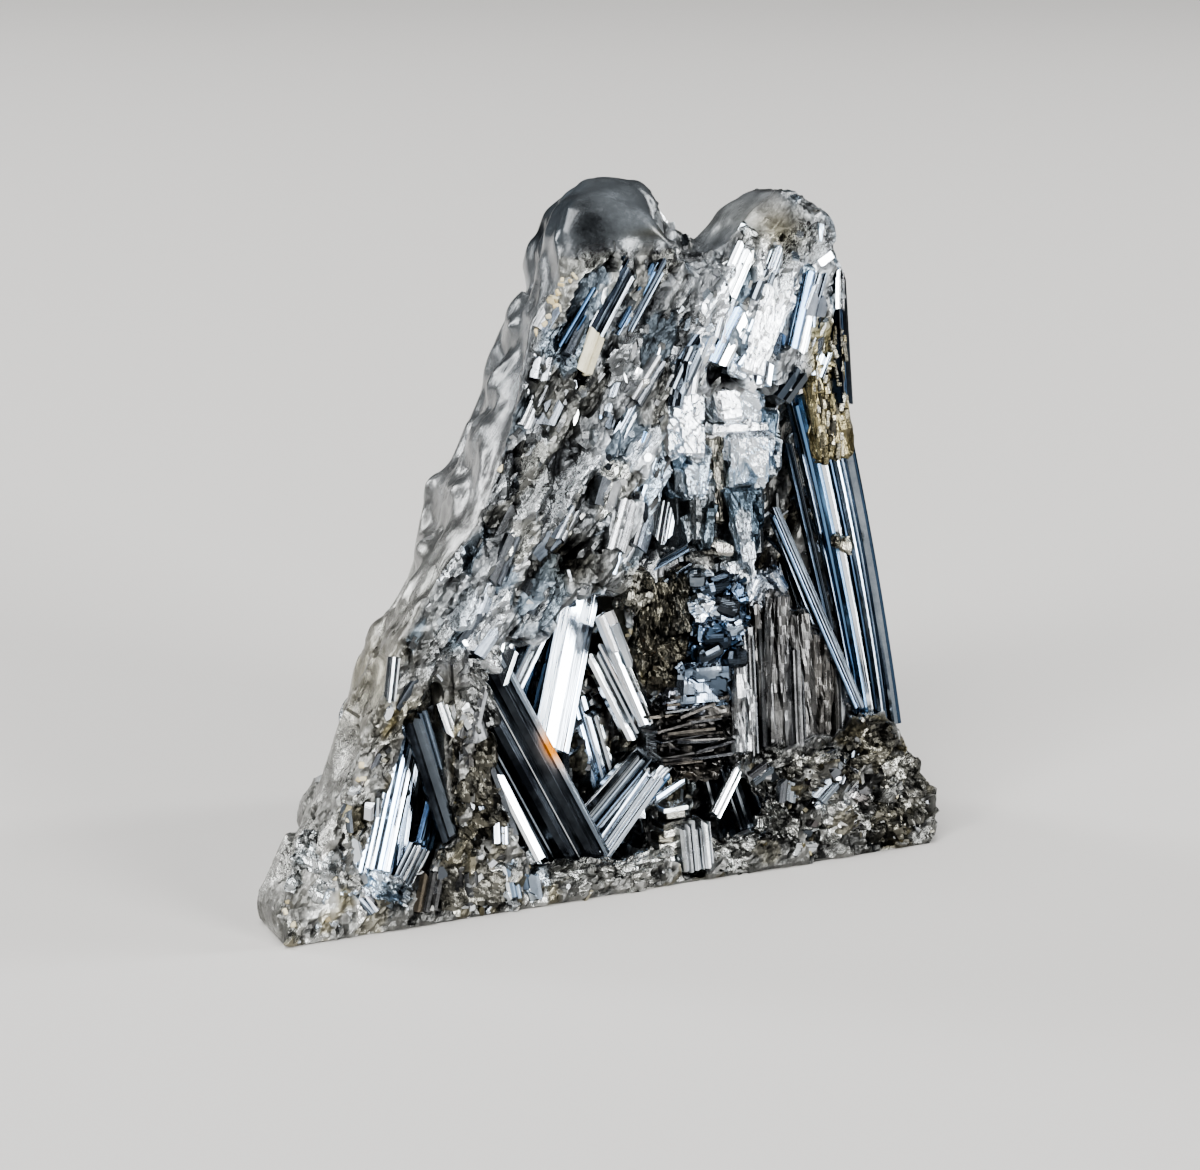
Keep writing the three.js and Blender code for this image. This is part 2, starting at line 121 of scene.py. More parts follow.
def makeStibnite(name, look):
    material = bpy.data.materials.new(name)
    material.use_nodes = True
    tree = material.node_tree
    tree.nodes.clear()
    place = addNode(tree, "ShaderNodeTexCoord").outputs["Object"]
    tone, gold, blue, smooth, worn = [
        addNode(tree, "ShaderNodeAttribute", attribute_name=key).outputs["Fac"]
        for key in ("tone", "gold", "blue", "smooth", "worn")
    ]
    uv = addNode(tree, "ShaderNodeUVMap", uv_map="crystal").outputs["UV"]

    # Cloudy tarnish, a few millimetres across, and a mottle as fine as the grains
    clouds = addNode(tree, "ShaderNodeTexNoise", {"Scale": 1 / (look["cloudMm"] * mm), "Detail": 4.0},
                     {"Vector": place}).outputs["Fac"]
    mottle = addNode(tree, "ShaderNodeTexNoise",
                     {"Scale": 1 / (look["facetMm"] * mm), "Detail": 3.0, "Roughness": 0.7},
                     {"Vector": place}).outputs["Fac"]
    mottleShade = addNode(tree, "ShaderNodeMath", {1: look["mottleShare"], 2: look["mottleShare"] * -0.5},
                          {0: mottle}, operation="MULTIPLY_ADD").outputs[0]
    cloudShade = addNode(tree, "ShaderNodeMath", {1: look["cloudShare"]}, {0: clouds, 2: tone},
                         operation="MULTIPLY_ADD").outputs[0]
    shade = addNode(tree, "ShaderNodeMath", None, {0: cloudShade, 1: mottleShade},
                    operation="ADD").outputs[0]
    ramp = addNode(tree, "ShaderNodeValToRGB", None, {"Fac": shade})
    elements = ramp.color_ramp.elements
    elements[0].position = look["cloudShare"] * 0.35
    elements[0].color = linearColour(look["dark"])
    elements[1].position = 0.75 + look["cloudShare"] * 0.5
    elements[1].color = linearColour(look["bright"])
    middle = elements.new(0.4 + look["cloudShare"] * 0.4)
    middle.color = linearColour(look["middle"])
    golden = addNode(tree, "ShaderNodeMix", {7: linearColour(look["gold"])},
                     {0: gold, 6: ramp.outputs["Color"]}, data_type="RGBA", blend_type="MULTIPLY").outputs[2]
    tinted = addNode(tree, "ShaderNodeMix", {7: linearColour(look["blue"])},
                     {0: blue, 6: golden}, data_type="RGBA", blend_type="MULTIPLY").outputs[2]

    # Tiny cleavage facets, each tilted its own way
    scaled = addNode(tree, "ShaderNodeVectorMath", {"Scale": 1 / (look["facetMm"] * mm)}, {0: place},
                     operation="SCALE").outputs[0]
    cells = addNode(tree, "ShaderNodeTexVoronoi", {"Scale": 1.0}, {"Vector": scaled})
    offset = addNode(tree, "ShaderNodeVectorMath", None, {0: scaled, 1: cells.outputs["Position"]},
                     operation="SUBTRACT").outputs[0]
    tilt = addNode(tree, "ShaderNodeVectorMath", {1: (0.5, 0.5, 0.5)}, {0: cells.outputs["Color"]},
                   operation="SUBTRACT").outputs[0]
    facet = addNode(tree, "ShaderNodeVectorMath", None, {0: offset, 1: tilt},
                    operation="DOT_PRODUCT").outputs["Value"]
    roughPart = addNode(tree, "ShaderNodeMath", {0: 1.0}, {1: smooth}, operation="SUBTRACT").outputs[0]
    facetHeight = addNode(tree, "ShaderNodeMath", None, {0: facet, 1: roughPart},
                          operation="MULTIPLY").outputs[0]
    facetBump = addNode(tree, "ShaderNodeBump",
                        {"Strength": look["facetStrength"], "Distance": look["facetMm"] * mm},
                        {"Height": facetHeight}).outputs["Normal"]

    # Grooves along the crystal, from its own UV map in millimetres
    grooveScale = addNode(tree, "ShaderNodeMapping",
                          {"Scale": (1 / look["grooveMm"], 1 / look["grooveLengthMm"], 1)},
                          {"Vector": uv}).outputs["Vector"]
    grooves = addNode(tree, "ShaderNodeTexNoise", {"Scale": 1.0, "Detail": 3.0, "Roughness": 0.65},
                      {"Vector": grooveScale}, noise_dimensions="2D").outputs["Fac"]
    full = look["grooveStrength"]
    grooveStrength = addNode(tree, "ShaderNodeMapRange",
                             {"To Min": full, "To Max": full * wornGrooves},
                             {"Value": worn}).outputs["Result"]
    normal = addNode(tree, "ShaderNodeBump",
                     {"Distance": look["grooveMm"] * 0.5 * mm},
                     {"Height": grooves, "Normal": facetBump, "Strength": grooveStrength}).outputs["Normal"]

    cloudRoughness = addNode(tree, "ShaderNodeMapRange",
                             {"To Min": look["roughness"][0], "To Max": look["roughness"][1]},
                             {"Value": clouds}).outputs["Result"]
    roughness = addNode(tree, "ShaderNodeMath", {1: look["roughGain"]}, {0: roughPart, 2: cloudRoughness},
                        operation="MULTIPLY_ADD").outputs[0]
    values = {"Metallic": look["metallic"]}
    links = {"Base Color": tinted, "Roughness": roughness, "Normal": normal}
    if look["glassy"]:
        # Worn faces gain a glassy coat and lose some of their metal
        values["Coat Roughness"] = coatRoughness
        links["Metallic"] = addNode(tree, "ShaderNodeMapRange",
                                    {"To Min": look["metallic"], "To Max": look["metallic"] - look["glassy"]},
                                    {"Value": worn}).outputs["Result"]
        links["Coat Weight"] = addNode(tree, "ShaderNodeMath", {1: look["glassy"]}, {0: worn},
                                       operation="MULTIPLY").outputs[0]
    shader = addNode(tree, "ShaderNodeBsdfPrincipled", values, links)
    addNode(tree, "ShaderNodeOutputMaterial", None, {"Surface": shader.outputs["BSDF"]})
    return material


# Granular stibnite: the massive body and its grains, dull in the pits and bright on the cleavages
granularLook = {
    "dark": "#17181a", "middle": "#7d7f80", "bright": "#eaeef2", "gold": "#c9bb92", "blue": "#a3b9cb",
    "cloudMm": 3.0, "cloudShare": 0.4, "mottleShare": 0.25, "facetMm": 0.45, "facetStrength": 0.35,
    "grooveMm": 0.26, "grooveLengthMm": 1.0, "grooveStrength": 0.75, "roughness": (0.14, 0.32),
    "roughGain": 0.14, "metallic": 0.97, "glassy": 0.45,
}
# Bladed stibnite: the prism faces, near mirrors with grooves along them
bladedLook = {
    "dark": "#15171b", "middle": "#757d85", "bright": "#f0f5f9", "gold": "#f0952a", "blue": "#8aaed2",
    "cloudMm": 5.0, "cloudShare": 0.3, "mottleShare": 0.12, "facetMm": 0.8, "facetStrength": 0.03,
    "grooveMm": 0.16, "grooveLengthMm": 25.0, "grooveStrength": 0.3, "roughness": (0.08, 0.22),
    "roughGain": 0.35, "metallic": 1.0, "glassy": 0.0,
}
# Fibrous stibnite: crystals split lengthwise into fibres, duller than the clean blades
fibrousLook = {
    "dark": "#17181b", "middle": "#77797b", "bright": "#dfe3e6", "gold": "#c9ab77", "blue": "#7fa7d2",
    "cloudMm": 2.5, "cloudShare": 0.4, "mottleShare": 0.3, "facetMm": 0.5, "facetStrength": 0.25,
    "grooveMm": 0.14, "grooveLengthMm": 25.0, "grooveStrength": 0.6, "roughness": (0.18, 0.36),
    "roughGain": 0.2, "metallic": 1.0, "glassy": 0.0,
}
# Antimony ochre: the matt cream crust of weathered stibnite
ochreLook = {
    "dark": "#7d765f", "middle": "#b9b196", "bright": "#dcd6bf", "gold": "#f0d9a0", "blue": "#d9dde0",
    "cloudMm": 1.5, "cloudShare": 0.5, "mottleShare": 0.4, "facetMm": 0.3, "facetStrength": 0.6,
    "grooveMm": 0.3, "grooveLengthMm": 1.0, "grooveStrength": 0.2, "roughness": (0.5, 0.8),
    "roughGain": 0.0, "metallic": 0.0, "glassy": 0.0,
}
granular = makeStibnite("granular_stibnite", granularLook)
bladed = makeStibnite("bladed_stibnite", bladedLook)
fibrous = makeStibnite("fibrous_stibnite", fibrousLook)
ochre = makeStibnite("antimony_ochre", ochreLook)


def addPiece(name, mesh, material):
    piece = addObject(name, mesh)
    mesh.materials.append(material)
    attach(piece, "root")
    return piece


def setAttribute(mesh, name, values, domain="FACE"):
    layer = mesh.attributes.new(name, "FLOAT", domain)
    layer.data.foreach_set("value", np.asarray(values, np.float32))


def cornerVertices(mesh):
    corners = np.empty(len(mesh.loops), np.int64)
    mesh.loops.foreach_get("vertex_index", corners)
    return corners


def firstCorners(mesh):
    starts = np.empty(len(mesh.polygons), np.int64)
    mesh.polygons.foreach_get("loop_start", starts)
    return starts


def addCrystalMap(mesh, corners, places):
    layer = mesh.uv_layers.new(name="crystal")
    layer.uv.foreach_set("vector", places[corners].astype(np.float32).ravel())


def pointsAndFaces(shape):
    shape.verts.index_update()
    points = np.array([v.co for v in shape.verts])
    faces = [[v.index for v in f.verts] for f in shape.faces]
    shape.free()
    return points, faces


def turnedBy(degrees, axis):
    return Matrix.Rotation(math.radians(degrees), 3, axis)


# The whole numbers that turn a cell's place and seed into its random numbers
hashing = {
    "axes": (73856093, 19349663, 83492791), "seed": 2654435, "gain": 1103515245, "step": 12345, "turn": 977,
    "mask": 0x7fffffff, "shift": 13, "low": 0xffff,
}


# Nearest cell of a jittered grid: its random numbers, and the way from its centre
def cellField(points, seed):
    base = np.floor(points).astype(np.int64)
    nearest = np.full(len(points), 1e9)
    draws = np.zeros((len(points), 4))
    way = np.zeros((len(points), 3))
    for step in np.ndindex(3, 3, 3):
        cell = base + np.array(step) - 1
        mixed = (cell * np.array(hashing["axes"])).T
        mixed = mixed[0] ^ mixed[1] ^ mixed[2] ^ (seed * hashing["seed"])
        numbers = []
        for turn in range(7):
            mixed = (mixed * hashing["gain"] + hashing["step"] + turn * hashing["turn"]) & hashing["mask"]
            mixed = mixed ^ (mixed >> hashing["shift"])
            numbers.append((mixed & hashing["low"]) / hashing["low"])
        centre = cell + np.stack(numbers[:3], 1)
        apart = points - centre
        distance = (apart ** 2).sum(1)
        closer = distance < nearest
        nearest[closer] = distance[closer]
        draws[closer] = np.stack(numbers[3:], 1)[closer]
        way[closer] = apart[closer]
    return draws, way


# Places in the frame of cells that lie at an angle on the face, in cell sizes
def cellPlaces(faceMm, angle, size):
    turn = math.radians(angle)
    along = faceMm @ np.array([math.cos(turn), math.sin(turn), 0])
    across = faceMm @ np.array([-math.sin(turn), math.cos(turn), 0])
    return np.stack([along / size[0], across / size[1], faceMm[:, 2] / size[2]], 1)


# Flat steps and tilted facets, one to a cell
def facetHeight(draws, way, tilt=1.1):
    slope = (draws[:, 1:] - 0.5) * tilt
    return draws[:, 0] - 0.5 + (slope * way).sum(1)


# Rough ridges along one direction, with an average of nought
def ridgeField(faceMm, weights, angle, size, seed):
    chosen = np.flatnonzero(weights > 0.02)
    points = cellPlaces(faceMm[chosen], angle, size) + seed
    values = np.zeros(len(faceMm))
    values[chosen] = [noise.ridged_multi_fractal(Vector(p), 0.9, 2.1, 3, 1.0, 2.0) for p in points]
    values[chosen] -= values[chosen].mean()
    return values * weights


# Where on the body a point is: weights from 0 to 1 for each kind of surface
trunkEdge = {"up": [20, 24, 29, 39, 47, 55, 62], "x": [-8, -2, 3, 8, 8.5, 11, 11]}
leftEdge = {
    "up": [0, 8, 16, 26, 34, 43, 52, 56, 60], "x": [-31, -31, -27.5, -24, -17.7, -13.4, -8.8, -7.3, -7],
}
body = {"voxel": 0.41, "largest": 0.8, "baseBand": 0.5, "sunk": 0.12}
# Ridges of each kind of surface: their angle, size and height
body["ridges"] = [
    ("trunk", 58, (9.0, 2.6, 3.0), 0.8), ("arm", 66, (8.0, 2.2, 3.0), 0.5),
    ("lump", 15, (3.4, 2.4, 2.4), 0.6),
    ("foot", 60, (5.0, 2.2, 2.4), 0.5), ("hollow", 80, (7.0, 1.6, 2.4), 0.5),
    ("flank", 62, (9.0, 5.0, 6.0), 0.3),
    ("back", 84, (14.0, 2.6, 4.0), 0.55),
]
# Cleavage cells: their angle, size and height, then the size and height of the fine cells on them
body["facets"] = [
    ("trunk", 58, (5.0, 2.2, 2.4), 0.8, (1.2, 0.6, 0.8), 0.22),
    ("arm", 66, (4.8, 2.2, 2.4), 0.85, (1.2, 0.6, 0.8), 0.2),
    ("lump", 20, (2.8, 2.0, 2.2), 1.0, (1.0, 0.7, 0.9), 0.4),
    ("foot", 62, (3.0, 1.5, 1.8), 0.75, (0.9, 0.6, 0.8), 0.4),
    ("hollow", 76, (3.2, 1.1, 1.4), 0.75, (1.2, 0.6, 0.8), 0.4),
    ("flank", 62, (4.0, 2.4, 3.0), 0.6, (1.2, 0.8, 1.2), 0.25),
    ("back", 84, (9.0, 1.6, 2.4), 0.65, (2.6, 0.8, 1.2), 0.35),
    ("knob", 40, (5.0, 4.0, 4.0), 0.4, (2.0, 2.0, 2.0), 0.05),
]
# The two peaks are rounded from front to back above this height on the face
crown = {"from": 56.5, "height": 10.0, "share": 0.85, "middle": 9.0}
# Small vugs in the surface: place on the face, radius and depth
body["vugs"] = [
    (-3.0, 32.2, 2.0, 0.9), (14.0, 47.9, 1.8, 2.6), (24.6, 8.6, 1.3, 1.1), (28.6, 9.6, 1.2, 1.0),
    (27.4, 5.2, 1.0, 0.8),
    (20.4, 6.2, 1.0, 0.8), (-22.4, 3.0, 1.6, 0.5), (1.6, 44.6, 1.2, 0.6), (-10.6, 36.4, 1.4, 0.6),
    (21.0, 10.4, 1.1, 0.8),
]
# Lighter and darker patches of the face: place, reach across and up, and change of tone
body["patches"] = [
    (5.0, 37.0, 4.0, 6.5, 0.22), (-12.0, 29.0, 5.0, 3.2, 0.2), (17.0, 56.0, 4.0, 4.0, 0.15),
    (1.0, 42.0, 2.0, 2.5, 0.15),
    (-4.0, 46.0, 3.6, 6.0, -0.12), (-3.0, 32.0, 2.6, 2.4, -0.25), (-8.0, 38.0, 3.0, 2.0, 0.1),
    (9.0, 53.0, 3.0, 4.0, -0.1),
    (-27.0, 2.4, 3.0, 2.2, 0.25), (6.0, 24.0, 3.6, 6.5, -0.26), (1.8, 61.6, 1.5, 2.6, -0.3),
    (6.8, 63.4, 2.2, 1.4, 0.16),
    (4.2, 65.0, 2.0, 0.9, 0.14), (9.4, 60.4, 1.6, 2.2, -0.14),
]
# Golden tarnish of the face: place, reach across and up, and strength
body["goldPatches"] = [
    (6.0, 24.0, 3.6, 6.5, 0.7), (20.5, 61.0, 3.0, 2.4, 0.8), (-3.0, 32.0, 2.4, 2.2, 0.7),
    (-20.0, 22.0, 5.0, 5.0, 0.4), (7.8, 61.4, 2.8, 0.5, 0.6),
]
# The tone of each kind of surface; the darker tone of the hollow is painted shade
body["tones"] = {
    "trunk": -0.04, "arm": 0.04, "hollow": -0.22, "foot": -0.06, "lump": -0.2, "flank": 0.06, "knob": -0.08,
    "peak": 0.1,
}


# Where one kind of surface gives way to the next: the ends of each blend, in mm or as a share facing
borders = {
    "front": (0.2, 0.6), "frontDepth": (3.2, 4.6), "trunkUp": (22, 26), "trunkEdge": (-0.5, 0.5),
    "armUp": (43, 45),
    "knobUp": (59.5, 61.5), "knobRight": (10, 13), "flank": (0.2, 0.55), "flankDepth": (18, 22),
    "flankRight": (-14, -9), "flankUp": (20, 26), "band": (2.0, 4.0), "bandUp": (1.5, 4),
    "peakUp": (60, 62),
    "peakLeft": (13, 15), "peakRight": (21.5, 24), "hollow": (0.1, 0.4), "hollowDepth": (3.5, 5),
    "hollowUp": (47, 50), "hollowLeft": (4, 6), "lumpUp": (13, 15), "lumpLeft": (12, 15),
    "footUp": (20, 24),
    "faceOn": (0.7, 0.9), "faceOnRight": (27, 29), "low": (54, 57), "glassyUp": (16, 34),
    "goldLeft": (22, 23.5),
    "goldUp": (37, 41), "goldTop": (51, 54), "flankGoldUp": (28, 44), "flankBlueUp": (40, 50),
}


def rising(border, value):
    return smoothStep(*borders[border], value)


def falling(border, value):
    return 1 - smoothStep(*borders[border], value)


def surfaceZones(faceMm, normals):
    x, up, depth = faceMm.T
    facing = -(normals @ faceAxes[2])
    left = -normals[:, 0]
    pastTrunk = x - np.interp(up, trunkEdge["up"], trunkEdge["x"])
    pastLeft = x - np.interp(up, leftEdge["up"], leftEdge["x"])
    front = rising("front", facing) * falling("frontDepth", depth)
    trunk = front * rising("trunkUp", up) * falling("trunkEdge", pastTrunk)
    arm = front * rising("armUp", up) * rising("trunkEdge", pastTrunk)
    knob = rising("knobUp", up) * falling("knobRight", x)
    flank = rising("flank", left) * falling("flankDepth", depth) * (1 - front)
    flank *= 1 - rising("flankRight", x) * falling("flankUp", up)
    flank = np.maximum(flank, falling("band", pastLeft) * front * rising("bandUp", up))
    trunk, arm = trunk * (1 - flank) * (1 - knob), arm * (1 - knob)
    peak = rising("peakUp", up) * rising("peakLeft", x) * falling("peakRight", x)
    hollow = rising("hollowDepth", depth) * rising("hollow", facing) * falling("hollowUp", up)
    hollow *= rising("hollowLeft", pastLeft) * (1 - flank)
    lump = front * falling("lumpUp", up) * rising("lumpLeft", x)
    foot = front * falling("footUp", up) * falling("lumpLeft", x) * (1 - flank)
    arm = arm * (1 - peak)
    back = np.clip(1 - trunk - arm - knob - flank - peak - hollow - lump - foot, 0, 1)
    faceOn = rising("faceOn", facing) * falling("faceOnRight", x)
    return {"front": front, "trunk": trunk, "arm": arm, "knob": knob, "flank": flank, "peak": peak,
            "hollow": hollow, "lump": lump, "foot": foot, "back": back, "faceOn": faceOn,
            "low": falling("low", up), "border": flank * (1 - flank) * 4}


def copyNode(name):
    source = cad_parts[name]
    shape = bmesh.new()
    shape.from_mesh(source.data)
    bmesh.ops.remove_doubles(shape, verts=shape.verts, dist=0.002 * mm)
    mesh = bpy.data.meshes.new(name + "_merged")
    shape.to_mesh(mesh)
    shape.free()
    return mesh


def remeshed(mesh, voxelMm):
    holder = addObject("holder", mesh)
    modifier = holder.modifiers.new("voxels", "REMESH")
    modifier.mode = "VOXEL"
    modifier.voxel_size = voxelMm * mm
    graph = bpy.context.evaluated_depsgraph_get()
    result = bpy.data.meshes.new_from_object(holder.evaluated_get(graph))
    bpy.data.objects.remove(holder)
    return result


def vertexArrays(mesh):
    count = len(mesh.vertices)
    places = np.empty(count * 3)
    normals = np.empty(count * 3)
    mesh.vertices.foreach_get("co", places)
    mesh.vertex_normals.foreach_get("vector", normals)
    return places.reshape(-1, 3), normals.reshape(-1, 3)


def relaxed(mesh, values, rounds):
    edges = np.empty(len(mesh.edges) * 2, np.int64)
    mesh.edges.foreach_get("vertices", edges)
    a, b = edges.reshape(-1, 2).T
    degree = np.bincount(edges, minlength=len(mesh.vertices)).reshape(-1, 1)
    for _ in range(rounds):
        total = np.zeros_like(values)
        for axis in range(values.shape[1]):
            total[:, axis] = np.bincount(a, values[b, axis], len(values))
            total[:, axis] += np.bincount(b, values[a, axis], len(values))
        values = values * 0.4 + total / degree * 0.6
    return values


# Wear: how much it takes of each kind of surface, and the rounds of smoothing that stand for it
wear = {
    "flank": 0.9, "peak": 0.7, "back": 0.35, "lowFlank": 0.25, "rounds": 14, "normalRounds": 5,
    "blendRounds": 3, "heightRounds": 7, "smoothFlank": 0.8, "smoothPeak": 0.6, "shadedSmooth": 0.3,
}
# What the tone takes from a cell, from the fine cells and from clean cleavages, and the painted shade that
# darkens pits and vugs
shading = {
    "cell": 0.22, "fine": 0.2, "clean": 0.06, "pitShade": 0.65, "pitRange": (-0.25, 0.5), "pitRounds": 8,
    "vugs": 0.25, "base": 0.3,
}
# A cell whose draw passes these ends is a clean cleavage, with this share of its fine breaks gone
cleavage = {"draw": (0.52, 0.6), "cleared": 0.85}


# The peaks get narrower from front to back towards their tops
def crowned(faceMm):
    rise = np.clip((faceMm[:, 1] - crown["from"]) / crown["height"], 0, 1)
    narrower = np.sqrt(1 - crown["share"] * rise ** 2)
    faceMm[:, 2] = crown["middle"] + (faceMm[:, 2] - crown["middle"]) * narrower
    return faceMm


# How far each point stands out, in mm, and the tone, smoothness and tint of its cell
def hacklyField(faceMm, zones):
    height = np.zeros(len(faceMm))
    for seed, (zone, angle, size, amount) in enumerate(body["ridges"]):
        height += amount * ridgeField(faceMm, zones[zone], angle, size, seed * 17.3)
    tone, smooth, tint = np.zeros((3, len(faceMm)))
    for seed, (zone, angle, size, amount, fineSize, fineAmount) in enumerate(body["facets"]):
        draws, way = cellField(cellPlaces(faceMm, angle, size), seed + 3)
        fine, fineWay = cellField(cellPlaces(faceMm, angle, fineSize), seed + 40)
        clean = smoothStep(*cleavage["draw"], draws[:, 3])
        height += zones[zone] * amount * facetHeight(draws, way)
        height += zones[zone] * fineAmount * facetHeight(fine, fineWay) * (1 - cleavage["cleared"] * clean)
        smooth = np.maximum(smooth, zones[zone] * clean)
        fineTone = (fine[:, 1] - 0.5) * shading["fine"] * (1 - clean)
        tone += zones[zone] * ((draws[:, 1] - 0.5) * shading["cell"] + fineTone + clean * shading["clean"])
        tint += zones[zone] * draws[:, 2]
    return height, tone, smooth, tint


def vugDepth(faceMm, zones):
    hole = np.zeros(len(faceMm))
    for x, up, radius, deep in body["vugs"]:
        away = ((faceMm[:, 0] - x) ** 2 + (faceMm[:, 1] - up) ** 2) / radius ** 2
        hole = np.maximum(hole, deep * np.exp(-away ** 2) * zones["front"])
    return hole


def patches(rows, x, up, zones):
    for middleX, middleUp, reachX, reachUp, amount in rows:
        away = ((x - middleX) / reachX) ** 2 + ((up - middleUp) / reachUp) ** 2
        yield amount * np.exp(-away) * (1 - zones["back"])


# Golden and blue tarnish: the shares of the kinds of surface, on all their cells and on the tinted ones
tints = {
    "flankGold": 0.3, "flankBlue": 0.25, "goldDraw": (0.6, 0.85), "blueDraw": (0.1, 0.3),
    "gold": {"lump": 0.25, "foot": 0.25, "hollow": 0.25}, "blue": {"trunk": 0.15, "arm": 0.15, "knob": 0.4},
    "goldCells": {"lump": 0.6, "foot": 0.5, "hollow": 0.5, "trunk": 0.35},
    "blueCells": {"arm": 0.7, "trunk": 0.6, "hollow": 0.5},
}


def shareOf(zones, amounts):
    return sum(amount * zones[zone] for zone, amount in amounts.items())


def bodyTints(x, up, zones, cellTint):
    gold = rising("goldLeft", x) * rising("goldUp", up) * falling("goldTop", up) * zones["front"]
    gold += tints["flankGold"] * zones["flank"] * falling("flankGoldUp", up) + shareOf(zones, tints["gold"])
    gold += smoothStep(*tints["goldDraw"], cellTint) * shareOf(zones, tints["goldCells"])
    for patch in patches(body["goldPatches"], x, up, zones):
        gold += patch
    blue = (1 - smoothStep(*tints["blueDraw"], cellTint)) * shareOf(zones, tints["blueCells"])
    blue += shareOf(zones, tints["blue"]) + tints["flankBlue"] * zones["flank"] * rising("flankBlueUp", up)
    return gold, blue


# The lie of the fine texture, across and along it in mm: steep on the back and in the hollow
textureAngles = {"back": 84, "arm": 66, "rest": 58, "depthShare": 0.8}


def textureLie(x, up, depth, zones):
    degrees = np.where(zones["arm"] > 0.5, textureAngles["arm"], textureAngles["rest"])
    lie = np.radians(np.where(zones["back"] + zones["hollow"] > 0.5, textureAngles["back"], degrees))
    across = -x * np.sin(lie) + up * np.cos(lie) + textureAngles["depthShare"] * depth
    along = x * np.cos(lie) + up * np.sin(lie)
    return np.stack([across, along], 1)


def makeBody():
    mesh = remeshed(copyNode("massive_body"), body["voxel"])
    places, normals = vertexArrays(mesh)
    soft = relaxed(mesh, places, wear["rounds"])
    normals = relaxed(mesh, normals, wear["normalRounds"])
    normals /= np.linalg.norm(normals, axis=1, keepdims=True) + 1e-9
    zones = surfaceZones(toFace(places), normals)
    # The knob, the flank and the right peak are rounded by wear
    glassyUp = wear["lowFlank"] + (1 - wear["lowFlank"]) * rising("glassyUp", toFace(places)[:, 1])
    glassyFlank = zones["flank"] * glassyUp
    worn = zones["knob"] + glassyFlank * wear["flank"]
    worn = worn + zones["peak"] * wear["peak"] + zones["back"] * wear["back"]
    worn = relaxed(mesh, np.clip(worn, 0, 1)[:, None], wear["blendRounds"])
    faceMm = crowned(toFace(places * (1 - worn) + soft * worn))
    places = toWorld(faceMm)

    height, cellTone, cellSmooth, cellTint = hacklyField(faceMm, zones)
    rounded = worn[:, 0] * (1 - zones["back"])
    height = height * (1 - rounded) + relaxed(mesh, height[:, None], wear["heightRounds"])[:, 0] * rounded
    hole = vugDepth(faceMm, zones)
    height = np.clip(height, -body["largest"], body["largest"]) - body["sunk"] - hole
    # Painted shade: how far each point lies below its smoothed surface, used only to darken the tone in pits
    pitShade = (relaxed(mesh, height[:, None], shading["pitRounds"])[:, 0] - height) * (1 - worn[:, 0])
    grounded = smoothStep(0.0, body["baseBand"], places[:, 2] / mm)
    places = insideBox(places + normals * (height * grounded * mm)[:, None])
    mesh.vertices.foreach_set("co", places.ravel())
    mesh.update()

    smooth = zones["knob"] + glassyFlank * wear["smoothFlank"] + zones["peak"] * wear["smoothPeak"]
    smooth = np.clip(smooth, 0, 1)
    x, up, depth = toFace(places).T
    tone = shading["base"] + cellTone * (1 - smooth)
    # Painted shade: darker tone in the pits and in the vugs
    tone -= shading["pitShade"] * np.clip(pitShade, *shading["pitRange"])
    tone -= shading["vugs"] * np.clip(hole, 0, 1)
    for zone, amount in body["tones"].items():
        tone += amount * zones[zone]
    for patch in patches(body["patches"], x, up, zones):
        tone += patch
    gold, blue = bodyTints(x, up, zones, cellTint)
    values = {
        "tone": tone, "gold": gold, "blue": blue, "smooth": np.maximum(smooth, cellSmooth), "worn": smooth,
    }
    for key, amounts in values.items():
        setAttribute(mesh, key, np.clip(amounts, 0, 1), "POINT")
    corners = cornerVertices(mesh)
    mesh.polygons.foreach_set("use_smooth", smooth[corners[firstCorners(mesh)]] > wear["shadedSmooth"])
    addCrystalMap(mesh, corners, textureLie(x, up, depth, zones))
    piece = addPiece("massive_stibnite_body", mesh, granular)
    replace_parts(piece, "massive_body")
    return piece, relaxed(mesh, vertexArrays(mesh)[1], 6)


bodyPiece, bodyNormals = makeBody()
bodyTree = kdtree.KDTree(len(bodyPiece.data.vertices))
for index, vertex in enumerate(bodyPiece.data.vertices):
    bodyTree.insert(vertex.co, index)
bodyTree.balance()
print("body made:", len(bodyPiece.data.polygons), "faces")


# One grain shape: a cleaved chip with slanted ends, one unit wide, long along x and high along z
def chipShape(sides, taper, slant):
    shape = bmesh.new()
    bmesh.ops.create_circle(shape, cap_ends=True, segments=sides, radius=0.5)
    bmesh.ops.rotate(shape, verts=shape.verts, matrix=Matrix.Rotation(math.pi / sides, 3, "Z"))
    raised = bmesh.ops.extrude_face_region(shape, geom=shape.faces[:])
    top = [v for v in raised["geom"] if isinstance(v, bmesh.types.BMVert)]
    bmesh.ops.translate(shape, verts=top, vec=(0, 0, 1))
    bmesh.ops.scale(shape, verts=top, vec=(taper, taper, 1))
    for v in top:
        v.co.z += slant * v.co.x
    bmesh.ops.recalc_face_normals(shape, faces=shape.faces)
    bmesh.ops.triangulate(shape, faces=shape.faces)
    points, triangles = pointsAndFaces(shape)
    return points, np.array(triangles)


chips = [chipShape(4, 0.82, 0.35), chipShape(5, 0.7, -0.4), chipShape(6, 0.75, 0.2), chipShape(4, 0.6, 0.6)]


